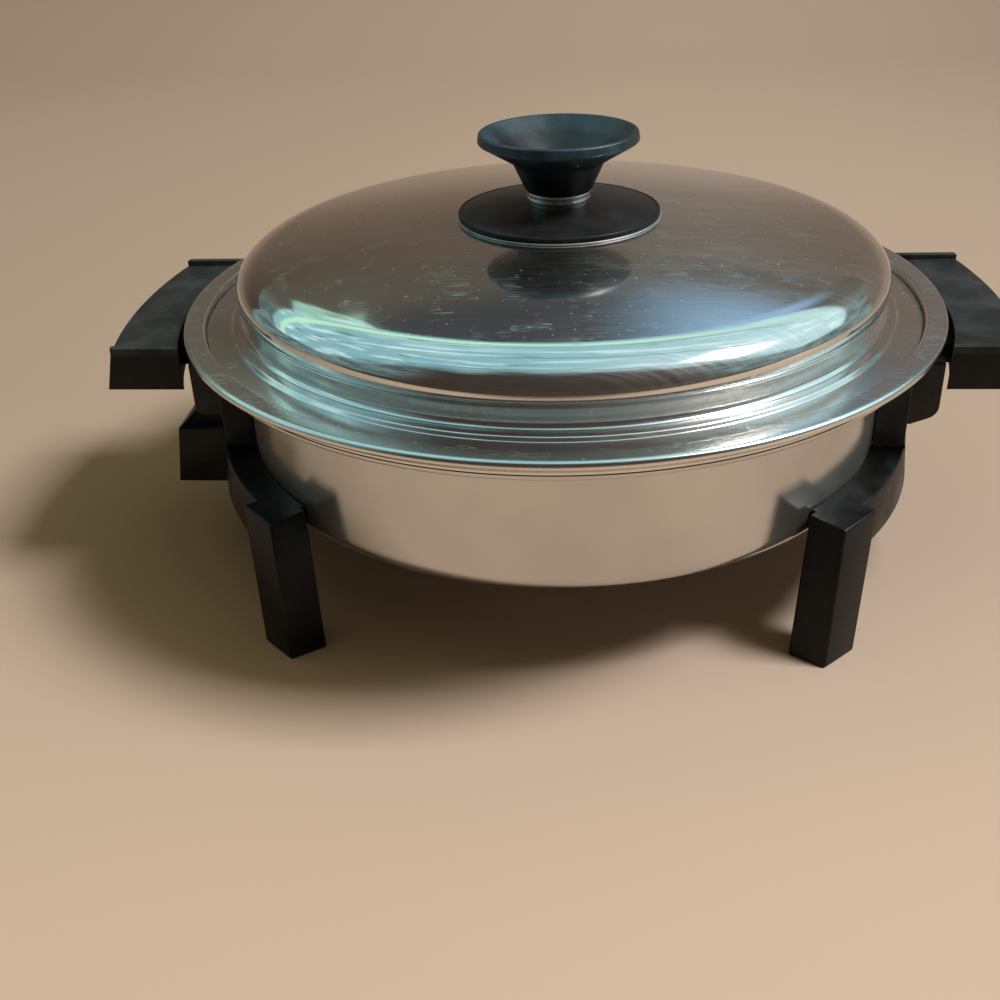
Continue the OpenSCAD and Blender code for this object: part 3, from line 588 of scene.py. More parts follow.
def polished_lid(look, skirt_z):
    """Buffed steel: a clear mirror under a rubbed haze, with fine scratches, a few deep ones and dust,
    and duller on the skirt below skirt_z"""
    f = Finish("lid_polished_steel")
    steel = tuple(look.steel)
    cloud = f.noise(0.045, 4.0, 0.6)
    deep = (f.scratches(-0.35, 0.030, 0.0014, 0.012, 0.58) + f.scratches(0.5, 0.020, 0.0012, 0.010, 0.63)
            + f.scratches(2.2, 0.012, 0.0016, 0.012, 0.65)).clamped()
    fine = (f.scratches(-0.42, 0.040, 0.0008, 0.050, 0.50)
            + f.scratches(-0.30, 0.050, 0.0007, 0.040, 0.52)).clamped()
    open_face = f.beside(0.138, 0.013)
    dust = f.noise(0.0008, 0.5, 0.3, (2, 1, 1), (0, 0, -0.5)).ramp(0.815, 0.825) * open_face
    across, _, height = f.spot()
    skirt = height.ramp(skirt_z - 2 * MM, skirt_z, 0.08, 0.0)
    worn = across.ramp(-0.01, 0.05, 0.25, 0.85) * across.ramp(0.06, 0.13, 1.0, 0.4)
    marks = (deep + fine * worn * 0.5) * open_face
    rubbed = f.noise(0.0007, 3.0, 0.7, (40, 1, 40), (0, 0, -0.40)).ramp(0.38, 0.66, 0.35, 1.0)
    f.put(Base_Color=f.mix((marks * 0.3 + dust).clamped(), steel, tone(steel, 1.25)), Metallic=1.0,
          Roughness=look.lid_gloss + skirt + cloud.ramp(0.35, 0.75, 0.0, 0.03) + marks * 0.16 + dust * 0.3,
          Coat_Weight=worn * rubbed, Coat_Roughness=0.60, Coat_IOR=2.2,
          Normal=f.relief(marks * -0.8 + dust * 0.8 + f.rings(0.00035) * 0.08, 0.00003, 0.5))
    return f.material


def spun_rim(look):
    """Turned steel of the pan's rim, ledge and inside"""
    f = Finish("pan_turned_steel")
    steel = tuple(look.steel)
    rings = f.rings(0.0004)
    haze = f.noise(0.03, 4.0, 0.6)
    strokes = (f.scratches(0.9, 0.03, 0.0015, 0.028, 0.54)
               + f.scratches(-0.7, 0.04, 0.0018, 0.028, 0.55)).clamped() * f.beside(0.140, 0.010)
    f.put(Base_Color=f.mix(haze.ramp(0.4, 0.75, 0.0, 0.6), tone(steel, 1.05), tone(steel, 0.92)),
          Metallic=1.0, Roughness=0.15 + rings.ramp(0.3, 0.75, 0.0, 0.10) + strokes * 0.1 + haze * 0.05,
          Normal=f.relief(rings * 0.7 + strokes * -0.4, 0.00003, 0.5))
    return f.material


def satin_jacket(look):
    """Brushed steel, its grain running round the wall, with faint wiped marks"""
    f = Finish("jacket_satin_steel")
    steel = tuple(look.steel)
    grain = f.rings(0.00030, 4.0)
    cloud = f.noise(0.06, 3.0, 0.5)
    specks = f.noise(0.0035, 2.0, 0.5).ramp(0.70, 0.74)
    f.put(Base_Color=f.mix(cloud.ramp(0.35, 0.7), tone(steel, 0.88), tone(steel, 0.76)), Metallic=1.0,
          Roughness=look.jacket_gloss + grain.ramp(0.3, 0.7, -0.02, 0.03) + cloud * 0.05 + specks * 0.1,
          Coat_Weight=0.9, Coat_Roughness=0.70, Coat_IOR=2.0, Normal=f.relief(grain, 0.00004, 0.6))
    return f.material


def bright_trim(name, look, rough, bright):
    """Rolled steel trim: the ring under the guard and the ferrule"""
    f = Finish(name)
    steel = tuple(look.steel)
    rings = f.rings(0.0003)
    dull = f.noise(0.006, 3.0, 0.6)
    f.put(Base_Color=f.mix(dull.ramp(0.45, 0.8), tone(steel, bright), tone(steel, bright * 0.7)),
          Metallic=1.0,
          Roughness=rough + rings.ramp(0.3, 0.7, 0.0, 0.08) + dull.ramp(0.5, 0.8, 0.0, 0.15),
          Normal=f.relief(rings, 0.00002, 0.4))
    return f.material


def black_moulding(name, look, rough, worn, top_z, sheen=0.22, dust=None):
    """Pressed phenolic: deep black, slightly cloudy gloss, rubbed strokes, and on what lies above top_z dust
    together with a painted sheen, the tops lightened as where light falls on them"""
    f = Finish(name)
    black, dust = tuple(look.black), tuple(dust or look.dust)
    height = f.spot()[2]
    cloud = f.noise(0.020, 4.0, 0.6)
    grain = f.noise(0.0012, 3.0, 0.6)
    specks = f.noise(0.0028, 1.0, 0.4).ramp(0.76, 0.80)
    strokes = (f.scratches(0.4, 0.018, 0.0013, 0.022, 0.56)
               + f.scratches(-0.8, 0.014, 0.0012, 0.020, 0.58, 0.9)).clamped()
    # painted sheen: what lies above top_z is lightened towards the wear colour, partly real dust and partly
    # painted top highlight
    dust_and_top_sheen = (height - top_z).ramp(0.0, 2 * MM) * cloud.ramp(0.3, 0.7, 0.3, 0.9)
    rubbed = cloud.ramp(0.42, 0.72, 0.0, worn) + strokes * 0.2 + specks * 0.3 + dust_and_top_sheen
    f.put(Base_Color=f.mix(rubbed.clamped(), black, dust), Specular_IOR_Level=sheen,
          Roughness=rough + cloud.ramp(0.3, 0.7, -0.04, 0.10) + strokes * 0.12
          + grain.ramp(0.3, 0.7, -0.02, 0.03),
          Normal=f.relief(grain * 0.7 + strokes * -0.4, 0.00004, 0.5))
    return f.material


def plain_metal(name, base, rough, patch=0.004, metallic=1.0):
    """Small plated or drawn parts, a little uneven"""
    f = Finish(name)
    cloud = f.noise(patch, 3.0, 0.6)
    fine = f.noise(patch / 8, 2.0, 0.5)
    f.put(Base_Color=f.mix(cloud.ramp(0.35, 0.75), tone(base, 1.05), tone(base, 0.8)), Metallic=metallic,
          Roughness=rough + cloud.ramp(0.3, 0.7, -0.05, 0.10), Normal=f.relief(fine, 0.00002, 0.4))
    return f.material


# ---- Pieces ------------------------------------------------------------------------

def skillet(context):
    scene = context.scene
    return scene.skillet_metal, scene.skillet_mouldings, scene.skillet_finish


class SKILLET_OT_pan(bpy.types.Operator):
    """Model the cooking pan with its rolled rim and the ledge for the lid"""
    bl_idname = "skillet.pan"
    bl_label = "Cooking pan"

    def execute(self, context):
        metal, _, look = skillet(context)
        rim_r, rim_z = PAN[1].x, PAN[1].z
        ledge_z = rim_z - metal.ledge_drop
        ledge_r = metal.wall_r + metal.ledge_w
        t = metal.pan_sheet
        path = bent([
            (0, metal.floor_z),
            (metal.wall_r, metal.floor_z, metal.floor_bend),
            (metal.wall_r, ledge_z, t + 1.3 * MM),
            (ledge_r, ledge_z, t + 0.2 * MM),
            (ledge_r, rim_z, t + 0.3 * MM),
            (rim_r, rim_z, t + 0.7 * MM),
            (rim_r, rim_z - 2 * t - 1 * MM, t + 0.5 * MM),
            (metal.seam_r, metal.seam_z + 1.6 * MM, 1 * MM),
            (metal.seam_r, metal.seam_z + 0.5 * MM),
        ])
        pan = face_out(spun("pan", with_support(path, 1.2 * MM), False, metal.segments))
        thicken(pan, t)
        smooth(pan)
        give(pan, spun_rim(look), "skillet", "cooking_pan")
        return {"FINISHED"}


class SKILLET_OT_jacket(bpy.types.Operator):
    """Model the outer jacket with the opening behind the socket"""
    bl_idname = "skillet.jacket"
    bl_label = "Outer jacket"

    def execute(self, context):
        metal, _, look = skillet(context)
        t = metal.jacket_sheet
        low = JACKET[0].z
        flange_z = metal.seam_z - 2 * MM
        path = bent([
            (0, low),
            (metal.jacket_r, low, metal.jacket_bend),
            (metal.jacket_r, flange_z, 2 * MM),
            (metal.seam_r, flange_z, t + 0.6 * MM),
            (metal.seam_r, metal.seam_z),
        ])
        jacket = face_out(spun("jacket", with_support(path, 1.5 * MM), False, metal.segments), up=False)
        thicken(jacket, t)
        half, half_h, wall_x, stud_r = 22 * MM, 4.9 * MM, -metal.jacket_r, 2.8 * MM
        carve(jacket, block("window", (wall_x - 2 * MM, -half, SOCKET_Z - half_h),
                            (wall_x + 13 * MM, half, SOCKET_Z + half_h)))
        carve(jacket, bore(stud_r, (0, 0, low - 2 * MM), (0, 0, low + 2 * MM)))
        smooth(jacket)
        give(jacket, satin_jacket(look), "skillet", "outer_jacket")
        return {"FINISHED"}


class SKILLET_OT_lid(bpy.types.Operator):
    """Model the domed lid with its rounded shoulder, neck, bead and turned edge"""
    bl_idname = "skillet.lid"
    bl_label = "Lid"

    def execute(self, context):
        metal, _, look = skillet(context)
        t = metal.lid_sheet
        edge_r, edge_z = LID[1].x, LID[0].z
        crown_z = LID[1].z

        def on_shoulder(degrees):
            a = math.radians(degrees)
            return (metal.shoulder_r - metal.shoulder_w * (1 - math.cos(a)),
                    metal.widest_z + metal.shoulder_h * math.sin(a))

        blend_r, blend_z = on_shoulder(77)
        land_r, steps = 13 * MM, 36
        rise = crown_z - blend_z
        reach = blend_r ** 2 - land_r ** 2
        dome_r = math.hypot(land_r, (reach - rise ** 2) / (2 * rise) + rise) if rise > 0 else 1.0
        centre_z = crown_z - math.sqrt(dome_r ** 2 - land_r ** 2)
        dome = []
        for i in range(steps + 1):
            r = land_r + (blend_r - land_r) * i / steps
            dome.append((r, centre_z + math.sqrt(dome_r ** 2 - r ** 2)))
        shoulder = [on_shoulder(degrees) for degrees in range(75, -1, -3)]
        flange_z = edge_z + 1.4 * MM
        bead_z = flange_z + 2.6 * MM
        skirt = bent([
            (metal.shoulder_r, metal.widest_z),
            (metal.shoulder_r, metal.widest_z - 3.2 * MM, t + 1.5 * MM),
            (metal.neck_r, metal.widest_z - 5.1 * MM, 2 * MM),
            (metal.neck_r, bead_z + 0.6 * MM, 3 * MM),
            (metal.bead_r, bead_z, t + 0.3 * MM),
            (metal.bead_r + 1.2 * MM, bead_z - 1.6 * MM, 0.8 * MM),
            (edge_r, flange_z, t + 0.15 * MM),
            (edge_r, edge_z),
        ])
        path = [(0, dome[0][1])] + dome + shoulder[:-1] + with_support(skirt, 1.2 * MM)
        lid = face_out(spun("lid_dome", path, False, metal.segments))
        thicken(lid, t)
        carve(lid, bore(3.1 * MM, (0, 0, crown_z - 4 * MM), (0, 0, crown_z + 2 * MM)))
        smooth(lid)
        give(lid, polished_lid(look, metal.widest_z - 3 * MM), "lid", "lid")
        return {"FINISHED"}


class SKILLET_OT_knob(bpy.types.Operator):
    """Model the knob, its ferrule and the finger guard with its bright ring"""
    bl_idname = "skillet.knob"
    bl_label = "Knob and guard"

    def execute(self, context):
        _, _, look = skillet(context)
        segments = 128
        drop = 0.65 * MM
        low, high, top = GUARD[0].z, GUARD_RING[1].z - drop, GUARD[1].z
        guard_r, hub_r = GUARD[1].x, 12 * MM
        lip_r, rise = guard_r - 2.1 * MM, 3.6 * MM
        crown = [(lip_r * (1 - i / 12), top + rise * (1 - (1 - i / 12) ** 2)) for i in range(1, 13)]
        guard = spun("finger_guard", bent([
            (0, low), (hub_r, low), (hub_r, high), (guard_r, high, 0.2 * MM), (guard_r, top, 0.5 * MM),
            (guard_r - 1.3 * MM, top, 0.2 * MM), (guard_r - 1.6 * MM, top - 0.25 * MM, 0.15 * MM),
            (lip_r, top),
        ], False, 4) + crown, False, segments)
        smooth(guard)
        black = black_moulding("guard_black", look, 0.36, 0.25, high, 0.22, tone(look.dust, 0.5))
        give(guard, black, "lid", "knob_guard")

        ring_r, ring_low, ring_top = GUARD_RING[1].x, GUARD_RING[0].z - drop, high
        ring = spun("guard_ring", bent([
            (ring_r - 3.6 * MM, ring_low + 0.3 * MM), (ring_r, ring_low, 0.24 * MM),
            (ring_r, ring_top, 0.24 * MM), (ring_r - 3.6 * MM, ring_top),
        ], True), True, segments)
        smooth(ring)
        give(ring, bright_trim("guard_ring_trim", look, 0.45, 0.62), "lid", "knob_guard_ring")

        lift = 3.2 * MM
        r, z, h = FERRULE[1].x, FERRULE[0].z + lift, FERRULE[1].z - FERRULE[0].z
        groove, bend_r = 0.5 * MM, 0.18 * MM
        ferrule = spun("ferrule", bent([
            (3.1 * MM, z), (r - groove, z), (r - groove, z + 0.2 * h, bend_r), (r, z + 0.26 * h, bend_r),
            (r, z + 0.44 * h, bend_r), (r - groove, z + 0.5 * h, bend_r), (r - groove, z + 0.6 * h, bend_r),
            (r + groove, z + 0.7 * h, bend_r), (r + groove, z + 0.94 * h, bend_r), (r, z + h, 0.1 * MM),
            (3.1 * MM, z + h),
        ], True, 4), True, segments)
        smooth(ferrule)
        give(ferrule, bright_trim("ferrule_trim", look, 0.16, 1.15), "lid", "knob_ferrule")

        foot, top, full_r = KNOB[0].z + lift, KNOB[1].z, KNOB[1].x
        foot_r, stem_r, stem_h, dish_r = 14.2 * MM, 19.8 * MM, 12 * MM, 9 * MM
        dish_z = KNOB[0].z + 11.5 * MM
        knob = spun("knob_moulding", bent([
            (0, foot), (foot_r, foot, 0.6 * MM), (stem_r, foot + stem_h, 5 * MM),
            (full_r - 0.7 * MM, top - 4.1 * MM, 0.5 * MM), (full_r, top - 3.4 * MM, 0.5 * MM),
            (full_r - 0.6 * MM, top, 0.9 * MM), (full_r - 2.6 * MM, top, 0.8 * MM),
            (dish_r, dish_z, 6 * MM), (0, dish_z),
        ], False, 9), False, segments)
        smooth(knob)
        # the knob's rubbed parts and top take the blue wear colour: real dust and a painted sky reflection
        black = black_moulding("knob_black", look, 0.40, 0.5, top - 6 * MM, 0.50, look.knob_dust_and_sky_tint)
        give(knob, black, "lid", "knob")
        return {"FINISHED"}


def grip_piece(parts):
    """The right-hand grip: a bar curved in plan, its end ridges, hollow underside, ribs and neck"""
    low, high = GRIP[0].z, GRIP[1].z - parts.ridge_h
    half = GRIP[1].y
    rim_r, gap, width = PAN[1].x, 3 * MM, 25 * MM
    roof, slack = 5 * MM, 0.1 * MM
    inner = (rim_r + gap - parts.grip_in_r, parts.grip_in_r)
    outer = (rim_r + gap + width - parts.grip_out_r, parts.grip_out_r)
    bar = two_arcs("grip_right_bar", inner, outer, half, low, high)
    edit(bar)
    choose(verts=lambda v: near(v.co.z, low) and math.hypot(v.co.x - outer[0], v.co.y) > outer[1] - slack)
    shift(x=parts.grip_flare)
    done()
    for side in (-1, 1):
        sliced(bar, (0, side * (half - parts.ridge_w), 0), (0, 1, 0))
    edit(bar)
    choose(faces=lambda f: f.normal.z > 0.9 and abs(f.calc_center_median().y) > half - parts.ridge_w)
    extrude((0, 0, parts.ridge_h))
    choose(faces=lambda f: f.normal.z < -0.9)
    bpy.ops.mesh.inset(thickness=parts.grip_wall, use_even_offset=True)
    extrude((0, 0, high - low - roof))
    bpy.ops.transform.resize(value=(0.985, 0.985, 1), center_override=(rim_r + gap + width / 2, 0, 0))
    done()
    tidy_mesh(bar)
    rounded_edges(bar, parts.edge * 0.8, 3, 40)
    neck_top = JACKET[1].z - 4 * MM
    neck = block("neck", (parts.wall_r - 10 * MM, -parts.gusset_half, parts.neck_low),
                 (rim_r + gap + parts.grip_wall, parts.gusset_half, neck_top))
    rounded_edges(neck, 0.8 * MM, 2)
    carve(neck, bore(parts.wall_r, (0, 0, 0), (0, 0, 0.2), sides=192))
    pitch, rib_half = 18 * MM, 1.25 * MM
    ribs = [block("rib", (rim_r + 6.5 * MM, y - rib_half, low + 2 * MM),
                  (rim_r + 25 * MM, y + rib_half, high - 4.5 * MM))
            for y in (-2 * pitch, -pitch, 0, pitch, 2 * pitch)]
    return joined("grip_right_piece", [bar, neck] + ribs)


class SKILLET_OT_grips(bpy.types.Operator):
    """Model the two moulded side grips"""
    bl_idname = "skillet.grips"
    bl_label = "Side grips"

    def execute(self, context):
        _, parts, look = skillet(context)
        right = smooth(grip_piece(parts), 40)
        left = turned_copy(right, "grip_left_piece")
        black = black_moulding("grip_black", look, look.black_gloss + 0.04, 0.25, GRIP[1].z - 4 * MM)
        give(right, black, "skillet", "grip_right")
        give(left, black, "skillet", "grip_left")
        return {"FINISHED"}


def polar(radius, degrees):
    return radius * math.cos(math.radians(degrees)), radius * math.sin(math.radians(degrees))


def leg_piece(parts, side):
    """One leg: a block on the ring band that tapers down to a splayed foot"""
    top_z = parts.band_top + 0.2 * MM
    inner, outer = parts.wall_r + 0.0022, parts.band_r + 0.006
    near_a, far_a = LEG_INNER_A, LEG_OUTER_A
    foot_in, foot_out = parts.foot_r - 15.5 * MM, parts.foot_r
    foot_a, foot_b, skew = 43.3, 49.8, 1.6
    leg = block("leg", (0, 0, 0), (1, 1, 1))
    corners = {
        (0, 0, 1): (*polar(inner, near_a), top_z), (1, 0, 1): (*polar(outer, near_a), top_z),
        (1, 1, 1): (*polar(outer, far_a), top_z), (0, 1, 1): (*polar(inner, far_a), top_z),
        (0, 0, 0): (*polar(foot_in, foot_a + skew), 0), (1, 0, 0): (*polar(foot_out, foot_a), 0),
        (1, 1, 0): (*polar(foot_out, foot_b), 0), (0, 1, 0): (*polar(foot_in, foot_b + skew), 0),
    }
    edit(leg)
    for start, target in corners.items():
        choose(verts=lambda v: (v.co - Vector(start)).length < 1e-4)
        bpy.ops.transform.translate(value=Vector(target) - Vector(start))
    done()
    if side < 0:
        active(leg)
        bpy.ops.transform.mirror(constraint_axis=(False, True, False), center_override=(0, 0, 0))
        bpy.ops.object.transform_apply(location=True, rotation=True, scale=True)
    tidy_mesh(leg)
    return rounded_edges(leg, 1.1 * MM, 4)


def frame_piece(parts, with_socket):
    """A leg frame on the right-hand side: ring band, post, gusset and two legs, and the socket's cuts"""
    top_z, low_z = parts.band_top, parts.band_top - parts.band_h
    end = math.radians(LEG_INNER_A + (LEG_OUTER_A - LEG_INNER_A) * 0.8)
    profile = [(parts.wall_r, low_z), (parts.band_r + parts.draft, low_z), (parts.band_r, top_z),
               (parts.wall_r, top_z), (parts.wall_r, low_z)]
    band = drawn("band", [Vector((r * math.cos(-end), r * math.sin(-end), z)) for r, z in profile])
    bpy.ops.mesh.remove_doubles(threshold=MERGE)
    bpy.ops.mesh.spin(steps=36, angle=2 * end, center=(0, 0, 0), axis=(0, 0, -1))
    choose_all()
    bpy.ops.mesh.remove_doubles(threshold=MERGE)
    for s in (-1, 1):
        choose(edges=lambda e: len(e.link_faces) == 1 and s * (e.verts[0].co.y + e.verts[1].co.y) > 0)
        bpy.ops.mesh.edge_face_add()
    done()
    tidy_mesh(band)
    core_mid = math.radians((POST_A + LEG_INNER_A) / 2)
    core_half = math.radians((LEG_INNER_A - POST_A) / 2 - 0.5)
    edit(band)
    choose(faces=lambda f: f.normal.z < -0.9 and abs(abs(math.atan2(
        f.calc_center_median().y, f.calc_center_median().x)) - core_mid) < core_half)
    bpy.ops.mesh.inset(thickness=3.6 * MM, use_even_offset=True)
    extrude((0, 0, parts.band_h - 4 * MM))
    done()
    tidy_mesh(band)
    rounded_edges(band, parts.frame_edge, 3)

    post_r = parts.band_r - 0.3 * MM
    foot, sunk_z = 3 * MM, top_z - 1 * MM
    post = two_arcs("post", (0, parts.wall_r), (0, post_r), parts.post_half, sunk_z, parts.neck_low)
    levels = [top_z + foot * (k / 5) ** 2 for k in range(5)]
    for z in levels:
        sliced(post, (0, 0, z), (0, 0, 1))
    edit(post)
    for z in [sunk_z] + levels:
        out = foot - math.sqrt(max(0.0, foot ** 2 - (foot - max(0.0, z - top_z)) ** 2))
        for s in (-1, 1):
            choose(verts=lambda v: near(v.co.z, z) and near(v.co.y, s * parts.post_half, 1e-5))
            shift(y=s * out)
    done()
    tidy_mesh(post)
    rounded_edges(post, parts.frame_edge, 3, 40)

    if with_socket:
        half, half_h = 33.5 * MM, 9.8 * MM
        for piece in (band, post):
            carve(piece, block("pocket", (PLATE_X, -half, SOCKET_Z - half_h),
                               (parts.band_r + 4 * MM, half, SOCKET_Z + half_h)))
        half, half_h = 25 * MM, 6 * MM
        carve(band, block("window", (parts.wall_r - 10 * MM, -half, SOCKET_Z - half_h),
                          (PLATE_X + 1 * MM, half, SOCKET_Z + half_h)))
    gusset = gusset_piece(parts)
    legs = [leg_piece(parts, side) for side in (-1, 1)]
    return joined("leg_frame_right_piece", [band, post, gusset] + legs)


def gusset_piece(parts):
    """The block under the grip's neck, its lower edge rising outwards, with nut pockets and screw holes"""
    inner_x, outer_x = 153 * MM, parts.gusset_x
    low, rise = 61 * MM, 4.3 * MM
    gusset = block("gusset", (parts.wall_r - 8 * MM, -parts.gusset_half, low),
                   (outer_x, parts.gusset_half, parts.neck_low))
    sliced(gusset, (inner_x, 0, 0), (1, 0, 0))
    edit(gusset)
    choose(verts=lambda v: near(v.co.x, outer_x) and near(v.co.z, low))
    shift(z=rise)
    choose(edges=lambda e: all(near(v.co.x, outer_x) and near(v.co.z, low + rise) for v in e.verts))
    bpy.ops.mesh.bevel(offset=4 * MM, segments=8)
    done()
    rounded_edges(gusset, parts.frame_edge, 3, 30)
    carve(gusset, bore(parts.wall_r, (0, 0, 0), (0, 0, 0.2), sides=192))
    stud_z = (STUDS[0].z + STUDS[1].z) / 2
    pocket_r, pocket_x, hole_r, screw_r, screw_x = 5.5 * MM, 151.8 * MM, 2.1 * MM, 3.9 * MM, 156 * MM
    for stud_y, screw_y in ((-10 * MM, -24 * MM), (10 * MM, 24 * MM)):
        carve(gusset, bore(pocket_r, (pocket_x, stud_y, stud_z), (outer_x + 1 * MM, stud_y, stud_z), "X"))
        carve(gusset, bore(hole_r, (130 * MM, stud_y, stud_z), (outer_x, stud_y, stud_z), "X"))
        carve(gusset, bore(screw_r, (screw_x, screw_y, 50 * MM), (screw_x, screw_y, 78 * MM)))
    return gusset


class SKILLET_OT_leg_frames(bpy.types.Operator):
    """Model the two leg frames that carry the skillet"""
    bl_idname = "skillet.leg_frames"
    bl_label = "Leg frames"

    def execute(self, context):
        _, parts, look = skillet(context)
        left = turned_over(frame_piece(parts, True), "leg_frame_left_piece")
        right = frame_piece(parts, False)
        black = black_moulding("frame_black", look, look.black_gloss, 0.25, parts.band_top - 0.5 * MM)
        for piece, node in ((right, "leg_frame_right"), (left, "leg_frame_left")):
            smooth(piece, 36)
            give(piece, black, "skillet", node)
        return {"FINISHED"}


def shroud_piece(parts):
    """The socket's shroud, on the right-hand side: a hood with bevelled shoulders round a solid floor"""
    wall, bevel_w, slant = 2.6 * MM, 4.6 * MM, 4.5 * MM
    half, low, high = SHROUD[1].y, SHROUD[0].z, SHROUD[1].z
    mouth_x = -SHROUD[0].x
    hood = block("hood", (parts.wall_r, -half, low), (mouth_x, half, high))
    edit(hood)
    choose(verts=lambda v: near(v.co.x, mouth_x) and near(v.co.z, high))
    shift(x=-slant, z=-0.6 * MM)
    choose(edges=lambda e: all(v.co.z > high - 2 * MM for v in e.verts) and not all(
        near(v.co.x, parts.wall_r) for v in e.verts))
    bpy.ops.mesh.bevel(offset=bevel_w, segments=1)
    choose(faces=lambda f: f.normal.x > 0.9 and f.calc_center_median().z < (low + high) / 2 + 5 * MM)
    bpy.ops.mesh.inset(thickness=wall, use_even_offset=True)
    extrude((-1 * MM, 0, 0))
    bpy.ops.transform.resize(value=(0, 1, 1), center_override=(SOCKET_FLOOR_X, 0, 0))
    done()
    rounded_edges(hood, 0.6 * MM, 3, 25)
    slope = parts.draft / parts.band_h
    gap, past = 0.3 * MM, 10 * MM
    deep_r = parts.band_r + gap + slope * (parts.band_top - low + past)
    top_r = parts.band_r + gap - slope * (high + past - parts.band_top)
    drum = primitive("drum", "cone", vertices=192, radius1=deep_r, radius2=top_r,
                     depth=high - low + 2 * past, location=(0, 0, (high + low) / 2))
    carve(hood, drum)
    pad = block("pad", (PLATE_X + 1.5 * MM, PLATE[0].y, PLATE[0].z), (SOCKET_FLOOR_X, PLATE[1].y, PLATE[1].z))
    rounded_edges(pad, 0.4 * MM, 2)
    pin_y, pin_z = INSULATORS[1].y - 4.2 * MM, (INSULATORS[0].z + INSULATORS[1].z) / 2
    for piece in (hood, pad):
        for radius, y, z in ((4.1 * MM, 0, SOCKET_Z), (4.3 * MM, pin_y, pin_z), (4.3 * MM, -pin_y, pin_z)):
            carve(piece, bore(radius, (PLATE_X - 4 * MM, y, z), (SOCKET_FLOOR_X + 2 * MM, y, z), "X"))
    return joined("hood_and_pad", [hood, pad])


class SKILLET_OT_socket(bpy.types.Operator):
    """Model the shroud of the control socket"""
    bl_idname = "skillet.socket"
    bl_label = "Socket shroud"

    def execute(self, context):
        _, parts, look = skillet(context)
        shroud = turned_over(shroud_piece(parts), "socket_shroud")
        smooth(shroud, 36)
        black = black_moulding("shroud_black", look, look.black_gloss, 0.25, SHROUD[1].z - 3 * MM)
        give(shroud, black, "skillet", "terminal_shroud")
        return {"FINISHED"}


def dress(node, finish):
    """Gives a CAD node that is kept its material"""
    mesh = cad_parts[node].data
    mesh.materials.clear()
    mesh.materials.append(finish)


class SKILLET_OT_small_parts(bpy.types.Operator):
    """Finish the small parts: element, spreader, sleeve, pins, plate, brackets and fasteners"""
    bl_idname = "skillet.small_parts"
    bl_label = "Small parts"

    def execute(self, context):
        _, _, look = skillet(context)
        steel = tuple(look.steel)
        zinc = plain_metal("zinc_plated", (0.58, 0.57, 0.54), 0.28, 0.003)
        for node in ("bracket_washers", "bracket_nuts", "grip_screws", "base_stud", "base_nut", "clip_screws",
                     "shroud_screws", "knob_screw", "knob_washer", "base_spacer", "bracket_left",
                     "bracket_right", "element_clips"):
            dress(node, zinc)
        dress("heat_spreader", plain_metal("cast_aluminium", tuple(look.aluminium), 0.42, 0.012))
        dress("heating_element", plain_metal("element_sheath", (0.16, 0.145, 0.13), 0.45, 0.006))
        dress("thermostat_sleeve", plain_metal("drawn_sleeve", tone(steel, 0.95), 0.24, 0.005))
        dress("terminal_pins", plain_metal("pin_steel", tone(steel, 1.1), 0.20, 0.003))
        dress("terminal_plate", plain_metal("plate_steel", tone(steel, 0.85), 0.34, 0.008))
        dress("pin_insulators", plain_metal("pin_ceramic", tuple(look.ceramic), 0.5, 0.004, 0.0))
        return {"FINISHED"}


class SKILLET_OT_stage(bpy.types.Operator):
    """Make the floor, the backdrop, the lights and the camera"""
    bl_idname = "skillet.stage"
    bl_label = "Studio"

    def execute(self, context):
        _, _, look = skillet(context)
        floor = primitive("floor", "plane", size=5, scale=(1.6, 1, 1))
        edit(floor)
        choose(verts=lambda v: v.co.y > 1)
        shift(y=-1.3)
        choose(edges=lambda e: all(v.co.y > 1 for v in e.verts))
        reach, steps = 0.45, 14
        for i in range(1, steps + 1):
            a0, a1 = (math.pi / 2 * (i - 1) / steps), (math.pi / 2 * i / steps)
            extrude((0, reach * (math.sin(a1) - math.sin(a0)), reach * (math.cos(a0) - math.cos(a1))))
        extrude((0, 0, 0.5))
        done()
        smooth(tidy_mesh(floor), 60)
        f = Finish("floor_paper")
        ground = tuple(look.floor)
        cloud = f.noise(0.35, 3.0, 0.5)
        cloth = f.mix(cloud.ramp(0.3, 0.7), tone(ground, 0.985), tone(ground, 1.015))
        side, away, height = f.spot()
        # painted shade: the floor darkens from the front towards the back, as the light falls off
        cloth = f.mix(away.ramp(-0.42, 0.15), cloth, tone(ground, 0.70))
        # painted shade: the floor and backdrop darken towards the right at the back
        cloth = f.mix(side.ramp(0.0, 1.0) * away.ramp(-0.2, 0.9), cloth, tone(ground, 0.42))
        # painted reflection: to glossy rays the floor's front edge turns dark brown, a painted shade that the
        # steel mirrors
        mirrored = f.node("ShaderNodeLightPath", out="Is Glossy Ray")
        cloth = f.mix(away.ramp(-0.45, -0.37, 1.0, 0.0) * mirrored, cloth, (0.05, 0.035, 0.025))
        # painted shade: the backdrop darkens further up, where the cloth falls into shade
        f.put(Base_Color=f.mix(height.ramp(0.10, 0.85, 0.0, 0.8), cloth, tone(ground, 0.25)),
              Roughness=0.85, Specular_IOR_Level=0.2,
              Normal=f.relief(f.noise(0.0012, 2.0, 0.5), 0.00004, 0.3))
        floor.data.materials.append(f.material)
        window_lamp()
        surroundings(look)
        camera()
        return {"FINISHED"}


